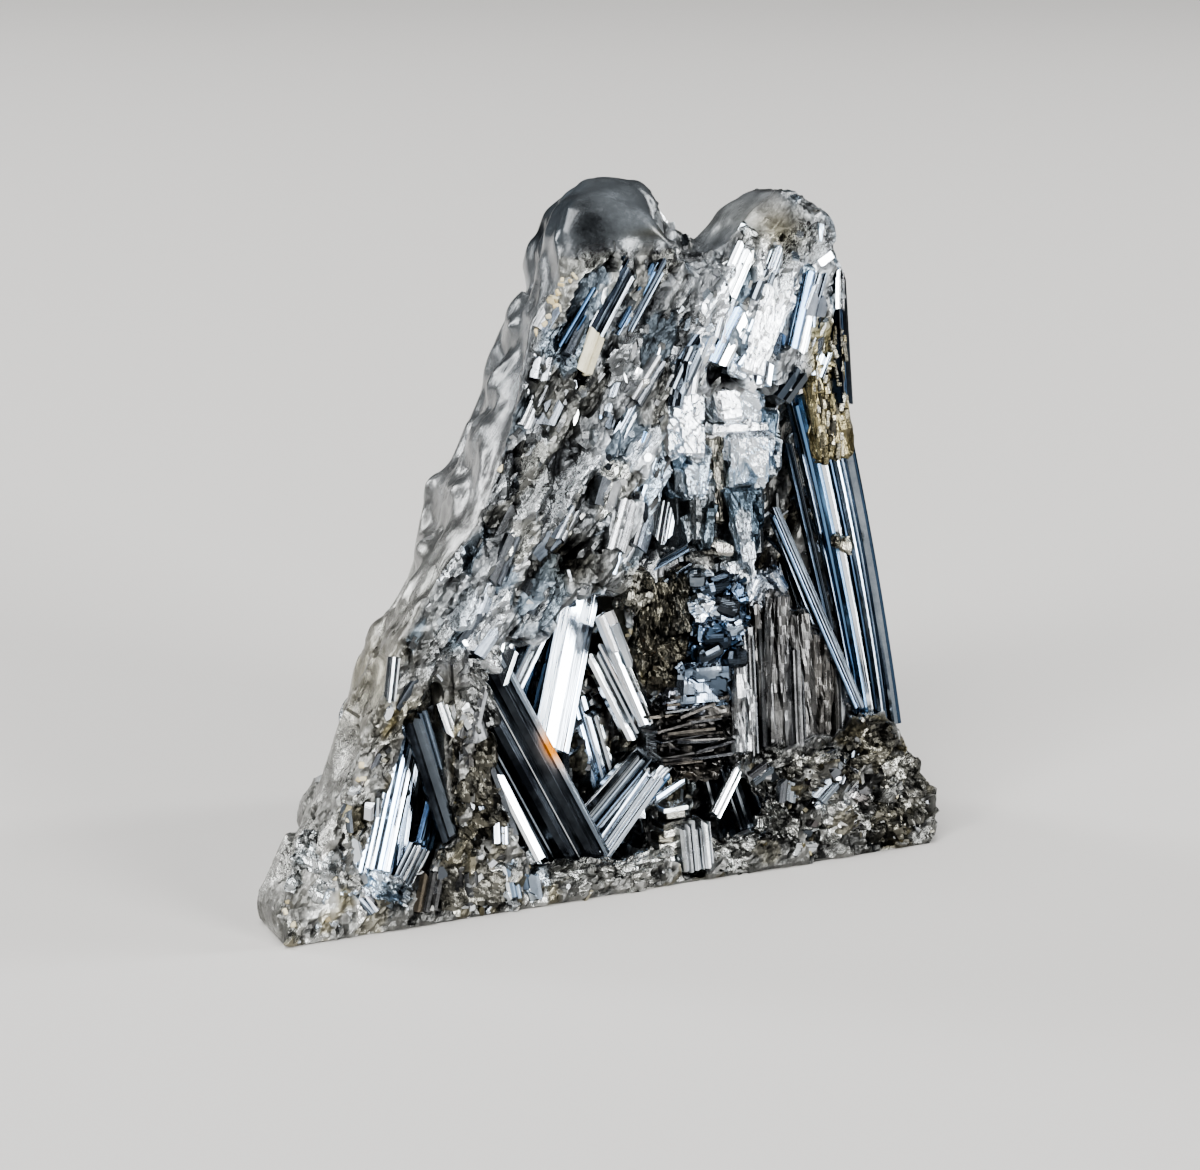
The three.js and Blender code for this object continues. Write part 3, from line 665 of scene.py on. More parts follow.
# Joins one chip for each frame: the frames hold the scaled axes as rows, the places are where chips stand
def joinChips(name, frames, places, kinds, values, material):
    points, triangles, starts, counts = [], [], 0, []
    for kind, (shapePoints, shapeTriangles) in enumerate(chips):
        chosen = np.flatnonzero(kinds == kind)
        moved = np.einsum("pi,nij->npj", shapePoints, frames[chosen]) + places[chosen][:, None]
        joined = shapeTriangles[None] + (starts + np.arange(len(chosen)) * len(shapePoints))[:, None, None]
        points.append(moved.reshape(-1, 3))
        triangles.append(joined.reshape(-1, 3))
        starts += len(chosen) * len(shapePoints)
        counts.append(np.repeat(chosen, len(shapeTriangles)))
    mesh = bpy.data.meshes.new(name)
    mesh.from_pydata(insideBox(np.concatenate(points)), [], np.concatenate(triangles))
    owner = np.concatenate(counts)
    for key, perChip in values.items():
        setAttribute(mesh, key, np.clip(perChip, 0, 1)[owner])
    addPiece(name, mesh, material)


clearOfBase = 0.4  # mm below which nothing is scattered


# Random places on the body's faces, with the way that each faces
def bodySamples(weights, count, random):
    mesh = bodyPiece.data
    total = len(mesh.polygons)
    centres = np.empty(total * 3)
    mesh.polygons.foreach_get("center", centres)
    centres = centres.reshape(-1, 3)
    normals = bodyNormals[cornerVertices(mesh)[firstCorners(mesh)]]
    normals = normals / (np.linalg.norm(normals, axis=1, keepdims=True) + 1e-9)
    zones = surfaceZones(toFace(centres), normals)
    share = weights(toFace(centres), zones)
    share = share * (1 - zones["knob"]) * (1 - zones["flank"]) * (1 - zones["peak"])
    areas = np.empty(total)
    mesh.polygons.foreach_get("area", areas)
    share = share * areas * (centres[:, 2] > clearOfBase * mm)
    picked = random.choice(total, count, replace=False, p=share / share.sum())
    return centres[picked], normals[picked]


grainTilt = 0.18  # how far a grain leans out of the surface
# Grains are set by kind of surface: how many, their size in mm, their lie, and how they shine
grainKinds = {
    "trunk_grains": {
        "zone": "trunk", "count": 120, "length": (0.6, 2.6), "width": (0.3, 1.2), "height": (0.3, 0.6),
        "angle": 58, "spread": 16, "tone": (0.1, 0.8), "gold": 0.1, "blue": 0.2, "sunk": 0.75, "seed": 1,
    },
    "arm_grains": {
        "zone": "arm", "count": 90, "length": (0.7, 3.0), "width": (0.4, 1.4), "height": (0.3, 0.6),
        "angle": 66, "spread": 18, "tone": (0.35, 1.0), "gold": 0.2, "blue": 0.25, "sunk": 0.75, "seed": 2,
    },
    "lump_grains": {
        "zone": "lump", "count": 120, "length": (0.4, 1.6), "width": (0.3, 0.9), "height": (0.3, 1.0),
        "angle": 20, "spread": 90, "tone": (-0.1, 0.7), "gold": 0.6, "blue": 0.0, "sunk": 0.7, "seed": 3,
    },
    "foot_grains": {
        "zone": "foot", "count": 120, "length": (0.5, 2.2), "width": (0.3, 1.0), "height": (0.3, 0.8),
        "angle": 60, "spread": 40, "tone": (0.0, 0.85), "gold": 0.5, "blue": 0.1, "sunk": 0.75, "seed": 4,
    },
    "hollow_grains": {
        "zone": "hollow", "count": 1100, "length": (0.7, 2.8), "width": (0.2, 0.6), "height": (0.3, 1.2),
        "angle": 80, "spread": 40, "tone": (0.0, 0.5), "gold": 0.3, "blue": 0.25, "sunk": 0.5, "seed": 5,
    },
    "back_grains": {
        "zone": "back", "count": 160, "length": (1.6, 6.0), "width": (0.4, 1.1), "height": (0.3, 0.7),
        "angle": 84, "spread": 10, "tone": (0.1, 0.9), "gold": 0.15, "blue": 0.2, "sunk": 0.7, "seed": 6,
    },
}


def scatterGrains(name, kind):
    random = np.random.default_rng(kind["seed"])
    count = kind["count"]
    places, normals = bodySamples(lambda faceMm, zones: zones[kind["zone"]] + 1e-6, count, random)
    angle = np.radians(kind["angle"] + random.normal(0, kind["spread"], count))
    lie = np.cos(angle)[:, None] * faceAxes[0] + np.sin(angle)[:, None] * faceAxes[1]
    normals = normals + random.normal(0, grainTilt, (count, 3))
    normals /= np.linalg.norm(normals, axis=1, keepdims=True)
    along = lie - (lie * normals).sum(1)[:, None] * normals
    along /= np.linalg.norm(along, axis=1, keepdims=True) + 1e-9
    across = np.cross(normals, along)
    length, width, height = (random.uniform(*kind[key], count) * mm for key in ("length", "width", "height"))
    frames = np.stack([along * length[:, None], across * width[:, None], normals * height[:, None]], 1)
    places = places - normals * (height * random.uniform(kind["sunk"], 0.95, count))[:, None]
    values = {
        "tone": random.uniform(*kind["tone"], count),
        "gold": random.random(count) ** 3 * kind["gold"] * 2,
        "blue": random.random(count) ** 3 * kind["blue"] * 3,
        "smooth": random.uniform(0.4, 1, count),
    }
    kinds = random.integers(0, len(chips), count)
    joinChips(name, frames, places, kinds, values, granular)


for grainName, grainKind in grainKinds.items():
    scatterGrains(grainName, grainKind)
print("grains scattered")


# One striated strip of a crystal, along z from 0, in mm: a grooved section with chisel ends.
# It returns its points and its faces.
def makeStrip(width, thickness, length, strip, random):
    lines = max(3, int(width / strip["groove"]))
    across = [(i / lines - 0.5) for i in range(lines + 1)]
    edgeDrop = strip["edgeDrop"] * thickness
    front = [
        (x * width, thickness / 2 - abs(2 * x) ** 6 * edgeDrop - random.uniform(0, strip["grooveDepth"]))
        for x in across
    ]
    section = front[::-1] + [(x, -y) for x, y in front]
    shape = bmesh.new()
    ring = bmesh.ops.create_circle(shape, cap_ends=True, segments=len(section), radius=1)["verts"]
    for v, (x, y) in zip(ring, section):
        v.co = (x, y, 0)
    raised = bmesh.ops.extrude_face_region(shape, geom=shape.faces[:])["geom"]
    far = [v for v in raised if isinstance(v, bmesh.types.BMVert)]
    bmesh.ops.translate(shape, verts=far, vec=(0, 0, length))
    bmesh.ops.scale(shape, verts=far, vec=(strip["taper"], strip["taper"], 1))
    # Two chisel cuts at the head and one at the foot: where, heading, slope, and inset in widths
    cuts = [
        (length, 1, random.uniform(*strip["chisel"]), 0.05),
        (length, 1, -random.uniform(*strip["chisel"]), 0.3),
        (0, -1, random.uniform(-0.5, 0.5), 0.1),
    ]
    for end, heading, slope, inset in cuts:
        normal = Vector((slope, random.uniform(-0.4, 0.4), heading)).normalized()
        point = Vector((0, 0, end - heading * inset * width))
        everything = shape.verts[:] + shape.edges[:] + shape.faces[:]
        bmesh.ops.bisect_plane(shape, geom=everything, dist=1e-4, plane_co=point, plane_no=normal,
                               clear_outer=True)
        bmesh.ops.holes_fill(shape, edges=shape.edges[:], sides=0)
    for i in range(1, strip["bends"]):
        everything = shape.verts[:] + shape.edges[:] + shape.faces[:]
        level = (0, 0, length * i / strip["bends"])
        bmesh.ops.bisect_plane(shape, geom=everything, dist=1e-4, plane_co=level, plane_no=(0, 0, 1))
    bmesh.ops.recalc_face_normals(shape, faces=shape.faces[:])
    return pointsAndFaces(shape)


stripDefaults = {
    "groove": 0.28, "grooveDepth": 0.025, "edgeDrop": 0.12, "taper": 1.0, "chisel": (0.2, 1.4), "bends": 1,
}


# A crystal is strips side by side, each at its own level, with its own ends, tilt and tone
def growCrystal(place, size, look, random):
    width, thickness, length = size
    strip = {**stripDefaults, **look.get("strip", {})}
    shares = np.array(look.get("shares") or random.uniform(0.5, 1.5, look["strips"]))
    shares = shares / shares.sum()
    starts = np.concatenate([[0], np.cumsum(shares)[:-1]]) - 0.5
    parts = []
    for index, (start, share) in enumerate(zip(starts, shares)):
        stripWidth = share * width * 1.06
        deep = thickness * random.uniform(0.72, 1.0)
        low = length * random.uniform(0, look["uneven"]) * 0.5
        high = length * (1 - random.uniform(0, look["uneven"]))
        points, faces = makeStrip(stripWidth, deep, high - low, strip, random)
        uvs = points[:, [0, 2]] + random.uniform(0, 40, 2)
        turned = points @ np.array(turnedBy(random.normal(0, look["tilt"]), "Z").transposed())
        level = (thickness - deep) / 2 - random.uniform(0, look["step"])
        turned = turned + np.array([(start + share / 2) * width, level, low])
        if look.get("bow"):
            t = np.clip(turned[:, 2] / length, 0, 1)
            turned[:, 0] += look["bow"] * 2 * t * (1 - t)
        world = place["origin"] + turned @ place["axes"] * mm
        tone = look["tones"][index] if "tones" in look else random.uniform(*look["tone"])
        parts.append({
            "points": world, "faces": faces, "uvs": uvs, "tone": tone,
            "blue": random.random() ** 1.3 * look["blue"], "gold": random.random() ** 3 * look["gold"],
        })
    return parts


# One piece of many parts, with a tarnished spot where one is asked for
def joinStrips(name, parts, material, tarnish=None):
    points, faces, uvs, values = [], [], [], {"tone": [], "blue": [], "gold": []}
    start = 0
    for part in parts:
        points.append(part["points"])
        faces += [[start + i for i in f] for f in part["faces"]]
        uvs.append(part["uvs"])
        start += len(part["points"])
        for key, rows in values.items():
            rows += list(np.broadcast_to(part[key], len(part["points"])))
    mesh = bpy.data.meshes.new(name)
    mesh.from_pydata(insideBox(np.concatenate(points)), [], faces)
    addCrystalMap(mesh, cornerVertices(mesh), np.concatenate(uvs))
    near = np.zeros(start)
    if tarnish:
        spot, reach = np.array(tarnish["spot"]), np.array(tarnish["reach"])
        run, rise = tarnish["across"]
        away = (toFace(np.concatenate(points))[:, :2] - spot) @ np.array([[run, rise], [-rise, run]])
        near = np.exp(-((away / reach) ** 2).sum(1)) * tarnish["strength"]
        values["gold"] = np.asarray(values["gold"]) + near
        values["tone"] = np.asarray(values["tone"]) + near * 0.5
    for key, rows in values.items():
        setAttribute(mesh, key, np.clip(rows, 0, 1), "POINT")
    setAttribute(mesh, "smooth", 1 - np.clip(near, 0, 1), "POINT")
    return addPiece(name, mesh, material)


# The place of a CAD crystal, from the spread of its points: along its length, width and thickness
def placeOfNode(name):
    points = np.array([v.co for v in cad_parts[name].data.vertices])
    middle = points.mean(0)
    _, _, axes = np.linalg.svd(points - middle)
    along = axes[0] * np.sign(axes[0][2])
    outward = axes[2] * -np.sign(axes[2][1])
    across = np.cross(outward, along)
    rows = np.array([across, outward, along])
    spread = (points - middle) @ rows.T
    low, high = spread.min(0), spread.max(0)
    origin = middle + ((low + high) / 2 * np.array([1, 1, 0]) + low * np.array([0, 0, 1])) @ rows
    return {"origin": origin, "axes": rows}, (high - low) / mm


# The place of a crystal from its foot to its head, with its broad side turned outwards
def placeAlong(foot, head, outward, roll=0.0):
    along = head - foot
    length = np.linalg.norm(along)
    along = along / length
    outward = outward - (outward @ along) * along
    outward /= np.linalg.norm(outward)
    outward = np.array(turnedBy(roll, Vector(along))) @ outward
    across = np.cross(outward, along)
    return {"origin": foot, "axes": np.array([across, outward, along])}, length / mm


def placeBetween(start, end, roll=0.0):
    foot, head = toWorld([start, end])
    return placeAlong(foot, head, -faceAxes[2], roll)


# The bright crystals turn their broad sides the same way, so that they flash together
flashing = {"outward": (0.01, -0.97, 0.25)}
plainBlade = {
    "strips": 4, "tilt": 4, "uneven": 0.08, "step": 0.15, "tone": (0.55, 1.0), "blue": 0.3, "gold": 0.0,
}
firstCrystalSeed = 100
crystalLooks = {
    "dark_beam": {
        "shares": (0.14, 0.3, 0.05, 0.3, 0.07, 0.14), "tones": (0.35, -0.05, 0.6, 0.0, 0.45, 0.15),
        "tilt": 3.0, "step": 0.35, "blue": 0.3, "strip": {"bends": 24, "groove": 0.5},
        "tarnish": {"spot": (-5.3, 14.6), "reach": (1.9, 1.1), "across": (0.44, 0.9), "strength": 1.3},
    },
    "bright_blade": {
        "shares": (0.1, 0.08, 0.72, 0.1), "tones": (0.5, 0.85, 1.0, 0.3), "tilt": 0.8, "step": 0.12,
        "blue": 0.5, "strip": {"groove": 0.9, "grooveDepth": 0.01}, "flash": True,
    },
    "side_blade": {"strips": 2, "tilt": 6, "tone": (0.3, 0.8), "blue": 1.6},
    "twin_blade_long": {"strips": 3, "tone": (0.3, 0.9)},
    "twin_blade_short": {"strips": 2, "tone": (0.9, 1.0), "blue": 0.1, "flash": True},
    "pale_blade": {"strips": 6, "tilt": 2, "tone": (0.58, 0.82), "blue": 0.8, "step": 0.08, "widen": 1.3,
        "flash": True},
    "pale_blade_inner": {"strips": 4, "tilt": 3, "tone": (0.35, 0.75), "blue": 1.0, "widen": 1.25,
        "flash": True},
    "crossing_blade": {"strips": 2, "tone": (-0.05, 0.2), "blue": 0.3},
    "blue_prism": {"strips": 3, "tone": (0.1, 0.6), "blue": 1.6},
    "grey_prism": {"strips": 5, "tone": (0.3, 0.8), "blue": 0.1},
    "white_sliver": {"strips": 1, "tone": (0.9, 1.0), "blue": 0.0, "flash": True},
    "upper_blade": {"strips": 3, "tone": (0.6, 1.0), "flash": True},
    "edge_blade": {"strips": 2, "tone": (0.5, 1.0), "flash": True},
    "lilac_blade": {"strips": 3, "tone": (0.5, 0.9), "blue": 1.4, "widen": 1.3, "flash": True},
    "ray_blade_upper": {"strips": 4, "tone": (0.15, 0.9), "blue": 0.6, "flash": True},
    "ray_blade_lower": {"strips": 4, "tone": (0.3, 0.9), "blue": 1.2},
    "white_prism": {"strips": 2, "tone": (0.8, 1.0), "blue": 0.0, "flash": True},
    "fan_blade_left": {"strips": 2, "tone": (0.2, 0.6), "blue": 0.3},
    "fan_blade_middle": {"strips": 3, "tone": (0.2, 0.7), "blue": 0.3},
    "fan_blade_right": {"strips": 3, "tone": (0.2, 0.7), "blue": 0.3},
    "crossing_needle": {"strips": 3, "tone": (0.0, 0.6), "blue": 1.4},
    "cavity_blade": {"strips": 2, "tone": (0.5, 0.8), "blue": 0.4},
}

for seed, (name, look) in enumerate(crystalLooks.items()):
    place, (width, thickness, length) = placeOfNode(name)
    random = np.random.default_rng(firstCrystalSeed + seed)
    if look.get("flash"):
        outward = np.array(flashing["outward"]) / np.linalg.norm(flashing["outward"])
        along = place["axes"][2]
        middle = place["origin"] + along * length / 2 * mm
        half = (along - (along @ outward) * outward) * length / 2 * mm
        place, _ = placeAlong(middle - half, middle + half, outward)
    size = (width * look.get("widen", 1), thickness, length)
    parts = growCrystal(place, size, {**plainBlade, **look}, random)
    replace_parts(joinStrips(name + "_grown", parts, bladed, look.get("tarnish")), name)

# The cream flake of antimony ochre on the trunk, and how far it stands out
flakeProud = 0.45
flakeLook = {
    **plainBlade, "strips": 3, "uneven": 0.3, "tilt": 10, "tone": (0.3, 0.9), "strip": {"grooveDepth": 0.15},
}
place, (width, thickness, length) = placeOfNode("cream_flake")
place["origin"] = place["origin"] - faceAxes[2] * flakeProud * mm
parts = growCrystal(place, (width * 1.25, thickness, length), flakeLook, np.random.default_rng(9))
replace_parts(joinStrips("cream_flake_grown", parts, ochre), "cream_flake")
print("single crystals grown")


# The bowed needles on the right, given on the leaning face from the first to the last
needles = {
    "count": 8, "foot": (28.6, 12.0, 4.6), "footLast": (31.5, 12.0, 2.2), "head": (22.4, 45.0, 4.4),
    "headLast": (26.3, 46.4, 2.0), "width": 1.25, "bow": -1.1, "roll": 30, "seed": 31,
}


def makeNeedles():
    random = np.random.default_rng(needles["seed"])
    parts = []
    for i in range(needles["count"]):
        share = i / (needles["count"] - 1)
        foot = np.array(needles["foot"]) * (1 - share) + np.array(needles["footLast"]) * share
        head = np.array(needles["head"]) * (1 - share) + np.array(needles["headLast"]) * share
        place, length = placeBetween(foot, head, random.uniform(-needles["roll"], needles["roll"]))
        look = {
            **plainBlade, "strips": 2, "tilt": 10, "uneven": 0.03, "step": 0.1, "tone": (0.0, 0.9),
            "blue": 1.3, "bow": needles["bow"], "strip": {"bends": 10, "edgeDrop": 0.3, "groove": 0.25},
        }
        wide = needles["width"] * random.uniform(0.7, 1.1)
        parts += growCrystal(place, (wide, wide, length), look, random)
    piece = joinStrips("needle_bundle_grown", parts, bladed)
    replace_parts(piece, "needle_bundle")


# The upright columns are many thin grooved prisms with broken tops
columns = {
    "count": 10, "x": (16.0, 25.4), "foot": 9.8, "top": (25.4, 20.6), "depth": (1.4, 2.6),
    "width": (0.5, 1.5), "thickness": (0.9, 1.7), "roll": 25, "seed": 32,
}


def makeColumns():
    random = np.random.default_rng(columns["seed"])
    parts = []
    for i in range(columns["count"]):
        share = i / (columns["count"] - 1)
        x = between(columns["x"], share)
        top = between(columns["top"], share) + random.uniform(-1.5, 0.6)
        depth = random.uniform(*columns["depth"])
        foot, head = (x - 0.2, columns["foot"], depth), (x + 0.1, top, depth + 0.4)
        place, length = placeBetween(foot, head, random.uniform(-columns["roll"], columns["roll"]))
        look = {
            **plainBlade, "strips": 2, "tilt": 6, "uneven": 0.24, "step": 0.5, "tone": (0.0, 0.26),
            "blue": 0.1, "gold": 0.35,
            "strip": {"groove": 0.16, "grooveDepth": 0.08, "chisel": (0.0, 0.4)},
        }
        size = (random.uniform(*columns["width"]), random.uniform(*columns["thickness"]), length)
        parts += growCrystal(place, size, look, random)
    parts += hacklyParts("fibre")
    piece = joinStrips("column_bundle_grown", parts, fibrous)
    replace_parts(piece, "column_bundle")


# How the faces of a hackly mass break: the cells of its steps (across, deep, up), how high they stand,
# the cells of the fine breaks on them, and how far the tone changes from cell to cell
breakKeys = ("cell", "amount", "fineCell", "fineAmount", "mottle")
breakRows = {
    "block": ((2.0, 2.0, 3.0), 0.75, (0.8, 0.8, 1.2), 0.16, 0.6),
    "crumb": ((1.2, 1.4, 1.6), 0.6, (0.6, 0.7, 0.8), 0.3, 0.5),
    "fibre": ((0.8, 1.2, 4.4), 0.6, (0.5, 0.6, 1.4), 0.2, 0.32),
    "arm": ((2.4, 1.8, 4.6), 0.35, (0.7, 0.8, 1.4), 0.12, 0.5),
    "dome": ((2.8, 2.2, 2.4), 0.5, (1.3, 1.2, 1.0), 0.08, 0.5),
    "lump": ((1.7, 1.6, 1.4), 0.9, (0.7, 0.7, 0.5), 0.35, 0.9),
    "plate": ((3.6, 2.0, 0.7), 0.8, (1.2, 1.0, 0.4), 0.4, 0.6),
    "etched": ((1.5, 1.5, 1.2), 0.6, (0.8, 0.8, 0.7), 0.1, 1.0),
}
breaks = {name: dict(zip(breakKeys, row)) for name, row in breakRows.items()}
# The stepped column: hackly cleavage blocks above, then shiny lumps, a smooth dome and thin plates.
# Each mass is its middle (x, up, depth), its size (x, depth, up), its turns in degrees, how much it
# narrows downwards, its tone, and its share of blue and of gold.
blocks = [
    ((9.8, 43.0, 2.8), (4.9, 3.4, 5.6), (-4, 5, -4), 0.15, 0.95, 0.2, 0.0),
    ((10.6, 45.4, 2.7), (2.8, 3.0, 3.0), (-6, 14, 6), 0.0, 1.0, 0.05, 0.0),
    ((10.4, 39.0, 2.9), (4.4, 3.6, 5.0), (4, 8, 5), 0.3, 0.6, 0.8, 0.0),
    ((11.6, 35.0, 2.9), (3.4, 3.4, 6.6), (-3, 8, -3), 0.35, 0.42, 0.7, 0.1),
    ((13.3, 38.0, 3.8), (2.2, 3.0, 9.0), (0, 2, 4), 0.0, 0.45, 0.0, 0.5),
    ((14.5, 45.2, 2.8), (2.9, 3.2, 4.0), (-6, -3, 5), 0.1, 1.0, 0.0, 0.0),
    ((17.4, 44.4, 3.4), (3.2, 3.0, 4.6), (3, 6, -8), 0.0, 0.7, 0.5, 0.0),
    ((15.8, 42.5, 2.4), (6.2, 2.4, 1.3), (-8, 3, 3), 0.0, 1.0, 0.0, 0.0),
    ((16.6, 39.4, 2.7), (4.9, 3.4, 5.6), (4, 3, 4), 0.1, 0.85, 0.5, 0.0),
    ((19.2, 40.8, 3.3), (1.7, 3.0, 6.2), (0, 5, -5), 0.1, 0.5, 0.8, 0.0),
    ((15.8, 33.8, 2.6), (4.2, 3.4, 6.6), (-3, 0, -3), 0.45, 0.34, 0.9, 0.0),
    ((15.7, 30.4, 2.6), (1.8, 2.6, 3.2), (2, -4, 5), 0.3, 0.75, 0.4, 0.0),
    ((13.0, 31.4, 2.4), (2.5, 2.0, 1.1), (-6, 8, 3), 0.0, 0.55, 0.0, 0.4),
    ((11.4, 29.6, 3.8), (3.0, 3.0, 3.4), (3, 4, -5), 0.0, 0.3, 0.1, 0.3),
    ((14.9, 28.8, 3.8), (2.9, 3.0, 3.0), (-3, -5, 4), 0.0, 0.4, 0.3, 0.1),
    ((12.4, 24.6, 4.0), (5.0, 3.0, 9.4), (0, 3, 0), 0.0, 0.1, 0.7, 0.0),
]
# Brown granular masses: on the left of the shiny lumps, and between the blades on the left
brownMass = [
    ((6.4, 25.4, 3.6), (3.8, 3.0, 7.6), (-4, 12, 5), 0.2, 0.12, 0.0, 0.7),
    ((7.4, 21.0, 3.4), (3.6, 3.0, 5.0), (5, 4, -4), 0.0, 0.14, 0.0, 0.7),
    ((8.8, 26.6, 3.7), (2.4, 2.6, 6.4), (2, -3, 6), 0.0, 0.08, 0.0, 0.6),
    ((4.6, 28.2, 3.5), (3.0, 2.6, 3.6), (-4, 20, 3), 0.0, 0.24, 0.0, 0.5),
    ((-13.6, 14.0, 0.8), (3.9, 2.0, 6.4), (-3, 2, 4), 0.0, 0.1, 0.0, 0.6),
    ((-13.3, 8.6, 0.75), (4.6, 2.0, 5.4), (3, -3, -4), 0.0, 0.14, 0.0, 0.65),
    ((-14.4, 3.8, 0.8), (6.4, 2.0, 5.6), (-4, 4, 3), 0.0, 0.22, 0.0, 0.5),
    ((-12.9, 20.4, 0.8), (2.6, 1.8, 6.0), (3, -14, 4), 0.0, 0.26, 0.1, 0.2),
    ((-12.6, 24.4, 1.6), (4.4, 2.4, 3.4), (-4, 6, 3), 0.0, 0.35, 0.1, 0.1),
    ((26.7, 30.4, 2.7), (1.8, 1.4, 1.2), (10, 20, 6), 0.0, 0.35, 0.0, 0.6),
]
# The granular mass at the right foot
lumpMass = [
    ((21.6, 8.4, 1.6), (6.4, 3.0, 4.4), (4, 6, 3), 0.0, 0.3, 0.0, 0.4),
    ((27.6, 10.0, 1.5), (5.2, 3.0, 4.6), (-3, -8, -4), 0.0, 0.22, 0.0, 0.6),
    ((31.0, 5.6, 1.6), (4.6, 3.0, 7.0), (3, -6, 5), 0.0, 0.35, 0.0, 0.4),
    ((24.8, 3.9, 1.3), (6.4, 3.0, 4.4), (-4, 3, 3), 0.0, 0.4, 0.0, 0.25),
    ((18.2, 3.8, 1.7), (4.2, 3.0, 4.6), (3, 9, -4), 0.0, 0.3, 0.1, 0.3),
    ((28.6, 3.4, 1.3), (4.2, 3.0, 4.2), (-5, -8, 2), 0.0, 0.2, 0.0, 0.6),
    ((17.2, 9.6, 2.4), (3.6, 3.0, 4.0), (4, -22, 3), 0.0, 0.22, 0.1, 0.3),
]
# Bright broken patches along the left foot
footMass = [
    ((-27.4, 2.8, 1.3), (4.2, 2.0, 3.8), (2, 20, 3), 0.0, 0.75, 0.3, 0.0),
    ((-23.2, 3.2, 1.35), (4.6, 2.0, 3.6), (-3, 34, -3), 0.0, 0.7, 0.6, 0.0),
    ((-19.4, 1.8, 1.2), (3.4, 2.0, 2.8), (3, 6, 4), 0.0, 0.15, 0.0, 0.4),
    ((-9.4, 2.8, 1.3), (4.6, 2.0, 4.4), (-3, -16, 2), 0.0, 0.55, 0.3, 0.1),
    ((-3.6, 1.8, 1.3), (6.4, 2.0, 3.0), (2, 4, -3), 0.0, 0.4, 0.1, 0.3),
    ((2.8, 1.7, 1.35), (6.4, 2.0, 2.8), (-3, -3, 3), 0.0, 0.5, 0.1, 0.3),
    ((-29.4, 6.8, 1.3), (3.6, 2.0, 5.2), (3, 30, -3), 0.0, 0.5, 0.2, 0.2),
    ((12.6, 1.8, 1.4), (5.2, 2.0, 3.2), (2, 5, 3), 0.0, 0.35, 0.1, 0.3),
]
# Layered masses: the thin plates under the dome, and the fibres that spread from them
plateMass = [
    ((9.4, 14.6, 2.9), (7.4, 3.0, 5.6), (4, -3, 0), 0.15, 0.1, 0.1, 0.4),
    ((9.8, 11.2, 3.2), (6.0, 3.0, 3.4), (-4, 10, 0), 0.3, 0.14, 0.2, 0.5),
    ((14.4, 13.6, 3.8), (3.6, 2.6, 6.4), (0, -14, 4), 0.1, 0.12, 0.2, 0.4),
]
# Shiny etched masses of the column's middle
etchedMass = [
    ((12.0, 28.2, 2.6), (3.6, 2.6, 2.6), (4, 12, 5), 0.0, 0.45, 0.3, 0.0),
    ((14.2, 27.0, 2.5), (2.8, 2.6, 2.8), (-5, -10, 4), 0.0, 0.3, 0.7, 0.0),
    ((11.6, 25.8, 2.2), (3.2, 2.6, 2.4), (6, -6, -5), 0.0, 0.7, 0.3, 0.0),
    ((13.9, 24.8, 2.3), (3.2, 2.6, 2.6), (-4, 9, 4), 0.0, 0.25, 0.9, 0.0),
    ((11.8, 23.6, 2.4), (3.6, 2.6, 2.2), (5, 4, 3), 0.0, 0.5, 0.6, 0.0),
    ((13.6, 22.6, 2.6), (3.0, 2.4, 2.2), (-3, -8, -4), 0.0, 0.15, 0.8, 0.0),
    ((11.4, 21.6, 2.6), (4.2, 2.6, 1.8), (4, 5, 2), 0.0, 0.1, 0.6, 0.0),
]
# The smooth dome under them, and the pale breaks beside it
domeMass = [
    ((10.4, 18.8, 2.5), (5.6, 3.4, 4.4), (4, 3, 2), -0.1, 0.4, 0.4, 0.0),
    ((8.6, 17.2, 2.8), (4.6, 3.2, 2.6), (-3, 12, -4), 0.0, 0.25, 0.3, 0.2),
]
# Fibrous masses among the upright columns, and the pale breaks on their tops
fibreMass = [
    ((14.9, 17.6, 3.0), (2.6, 2.6, 12.6), (0, 2, 3), 0.0, 0.45, 0.1, 0.1),
    ((16.6, 18.4, 3.4), (2.4, 2.6, 15.0), (0, 1, 5), 0.0, 0.2, 0.0, 0.2),
    ((18.8, 18.8, 2.9), (2.6, 2.8, 15.6), (2, 2, -6), 0.0, 0.3, 0.1, 0.2),
    ((21.2, 17.4, 3.1), (2.6, 2.8, 14.0), (-2, 0, 5), 0.0, 0.2, 0.0, 0.2),
    ((23.6, 16.2, 3.4), (2.6, 2.6, 12.4), (2, 2, -5), 0.0, 0.24, 0.0, 0.3),
    ((16.8, 26.8, 3.1), (2.4, 2.4, 3.4), (8, 24, 10), 0.0, 0.65, 0.2, 0.0),
    ((19.0, 27.2, 3.5), (2.6, 2.4, 2.8), (-8, -20, -6), 0.0, 0.5, 0.3, 0.0),
]
# Pale cleavage masses on the arm
armMass = [
    ((18.2, 51.6, 0.5), (3.4, 1.4, 8.4), (0, 25, 0), 0.3, 1.25, 0.0, 0.0),
    ((18.0, 51.4, 1.3), (4.4, 1.8, 9.6), (2, 27, 3), 0.1, 0.85, 0.4, 0.0),
    ((14.2, 52.4, 1.5), (3.2, 1.8, 7.4), (-4, 30, -5), 0.0, 0.5, 0.5, 0.1),
    ((21.8, 53.6, 1.6), (3.0, 1.8, 8.4), (3, 16, -4), 0.0, 0.5, 0.6, 0.1),
    ((17.4, 58.4, 1.8), (3.4, 1.8, 5.4), (-4, 32, 4), 0.0, 0.45, 0.3, 0.3),
]
# The fibrous core of the golden mass
goldenCore = [((25.0, 45.4, 1.6), (4.0, 1.9, 12.8), (0, -4, 0), 0.0, 0.42, 0.0, 1.0)]
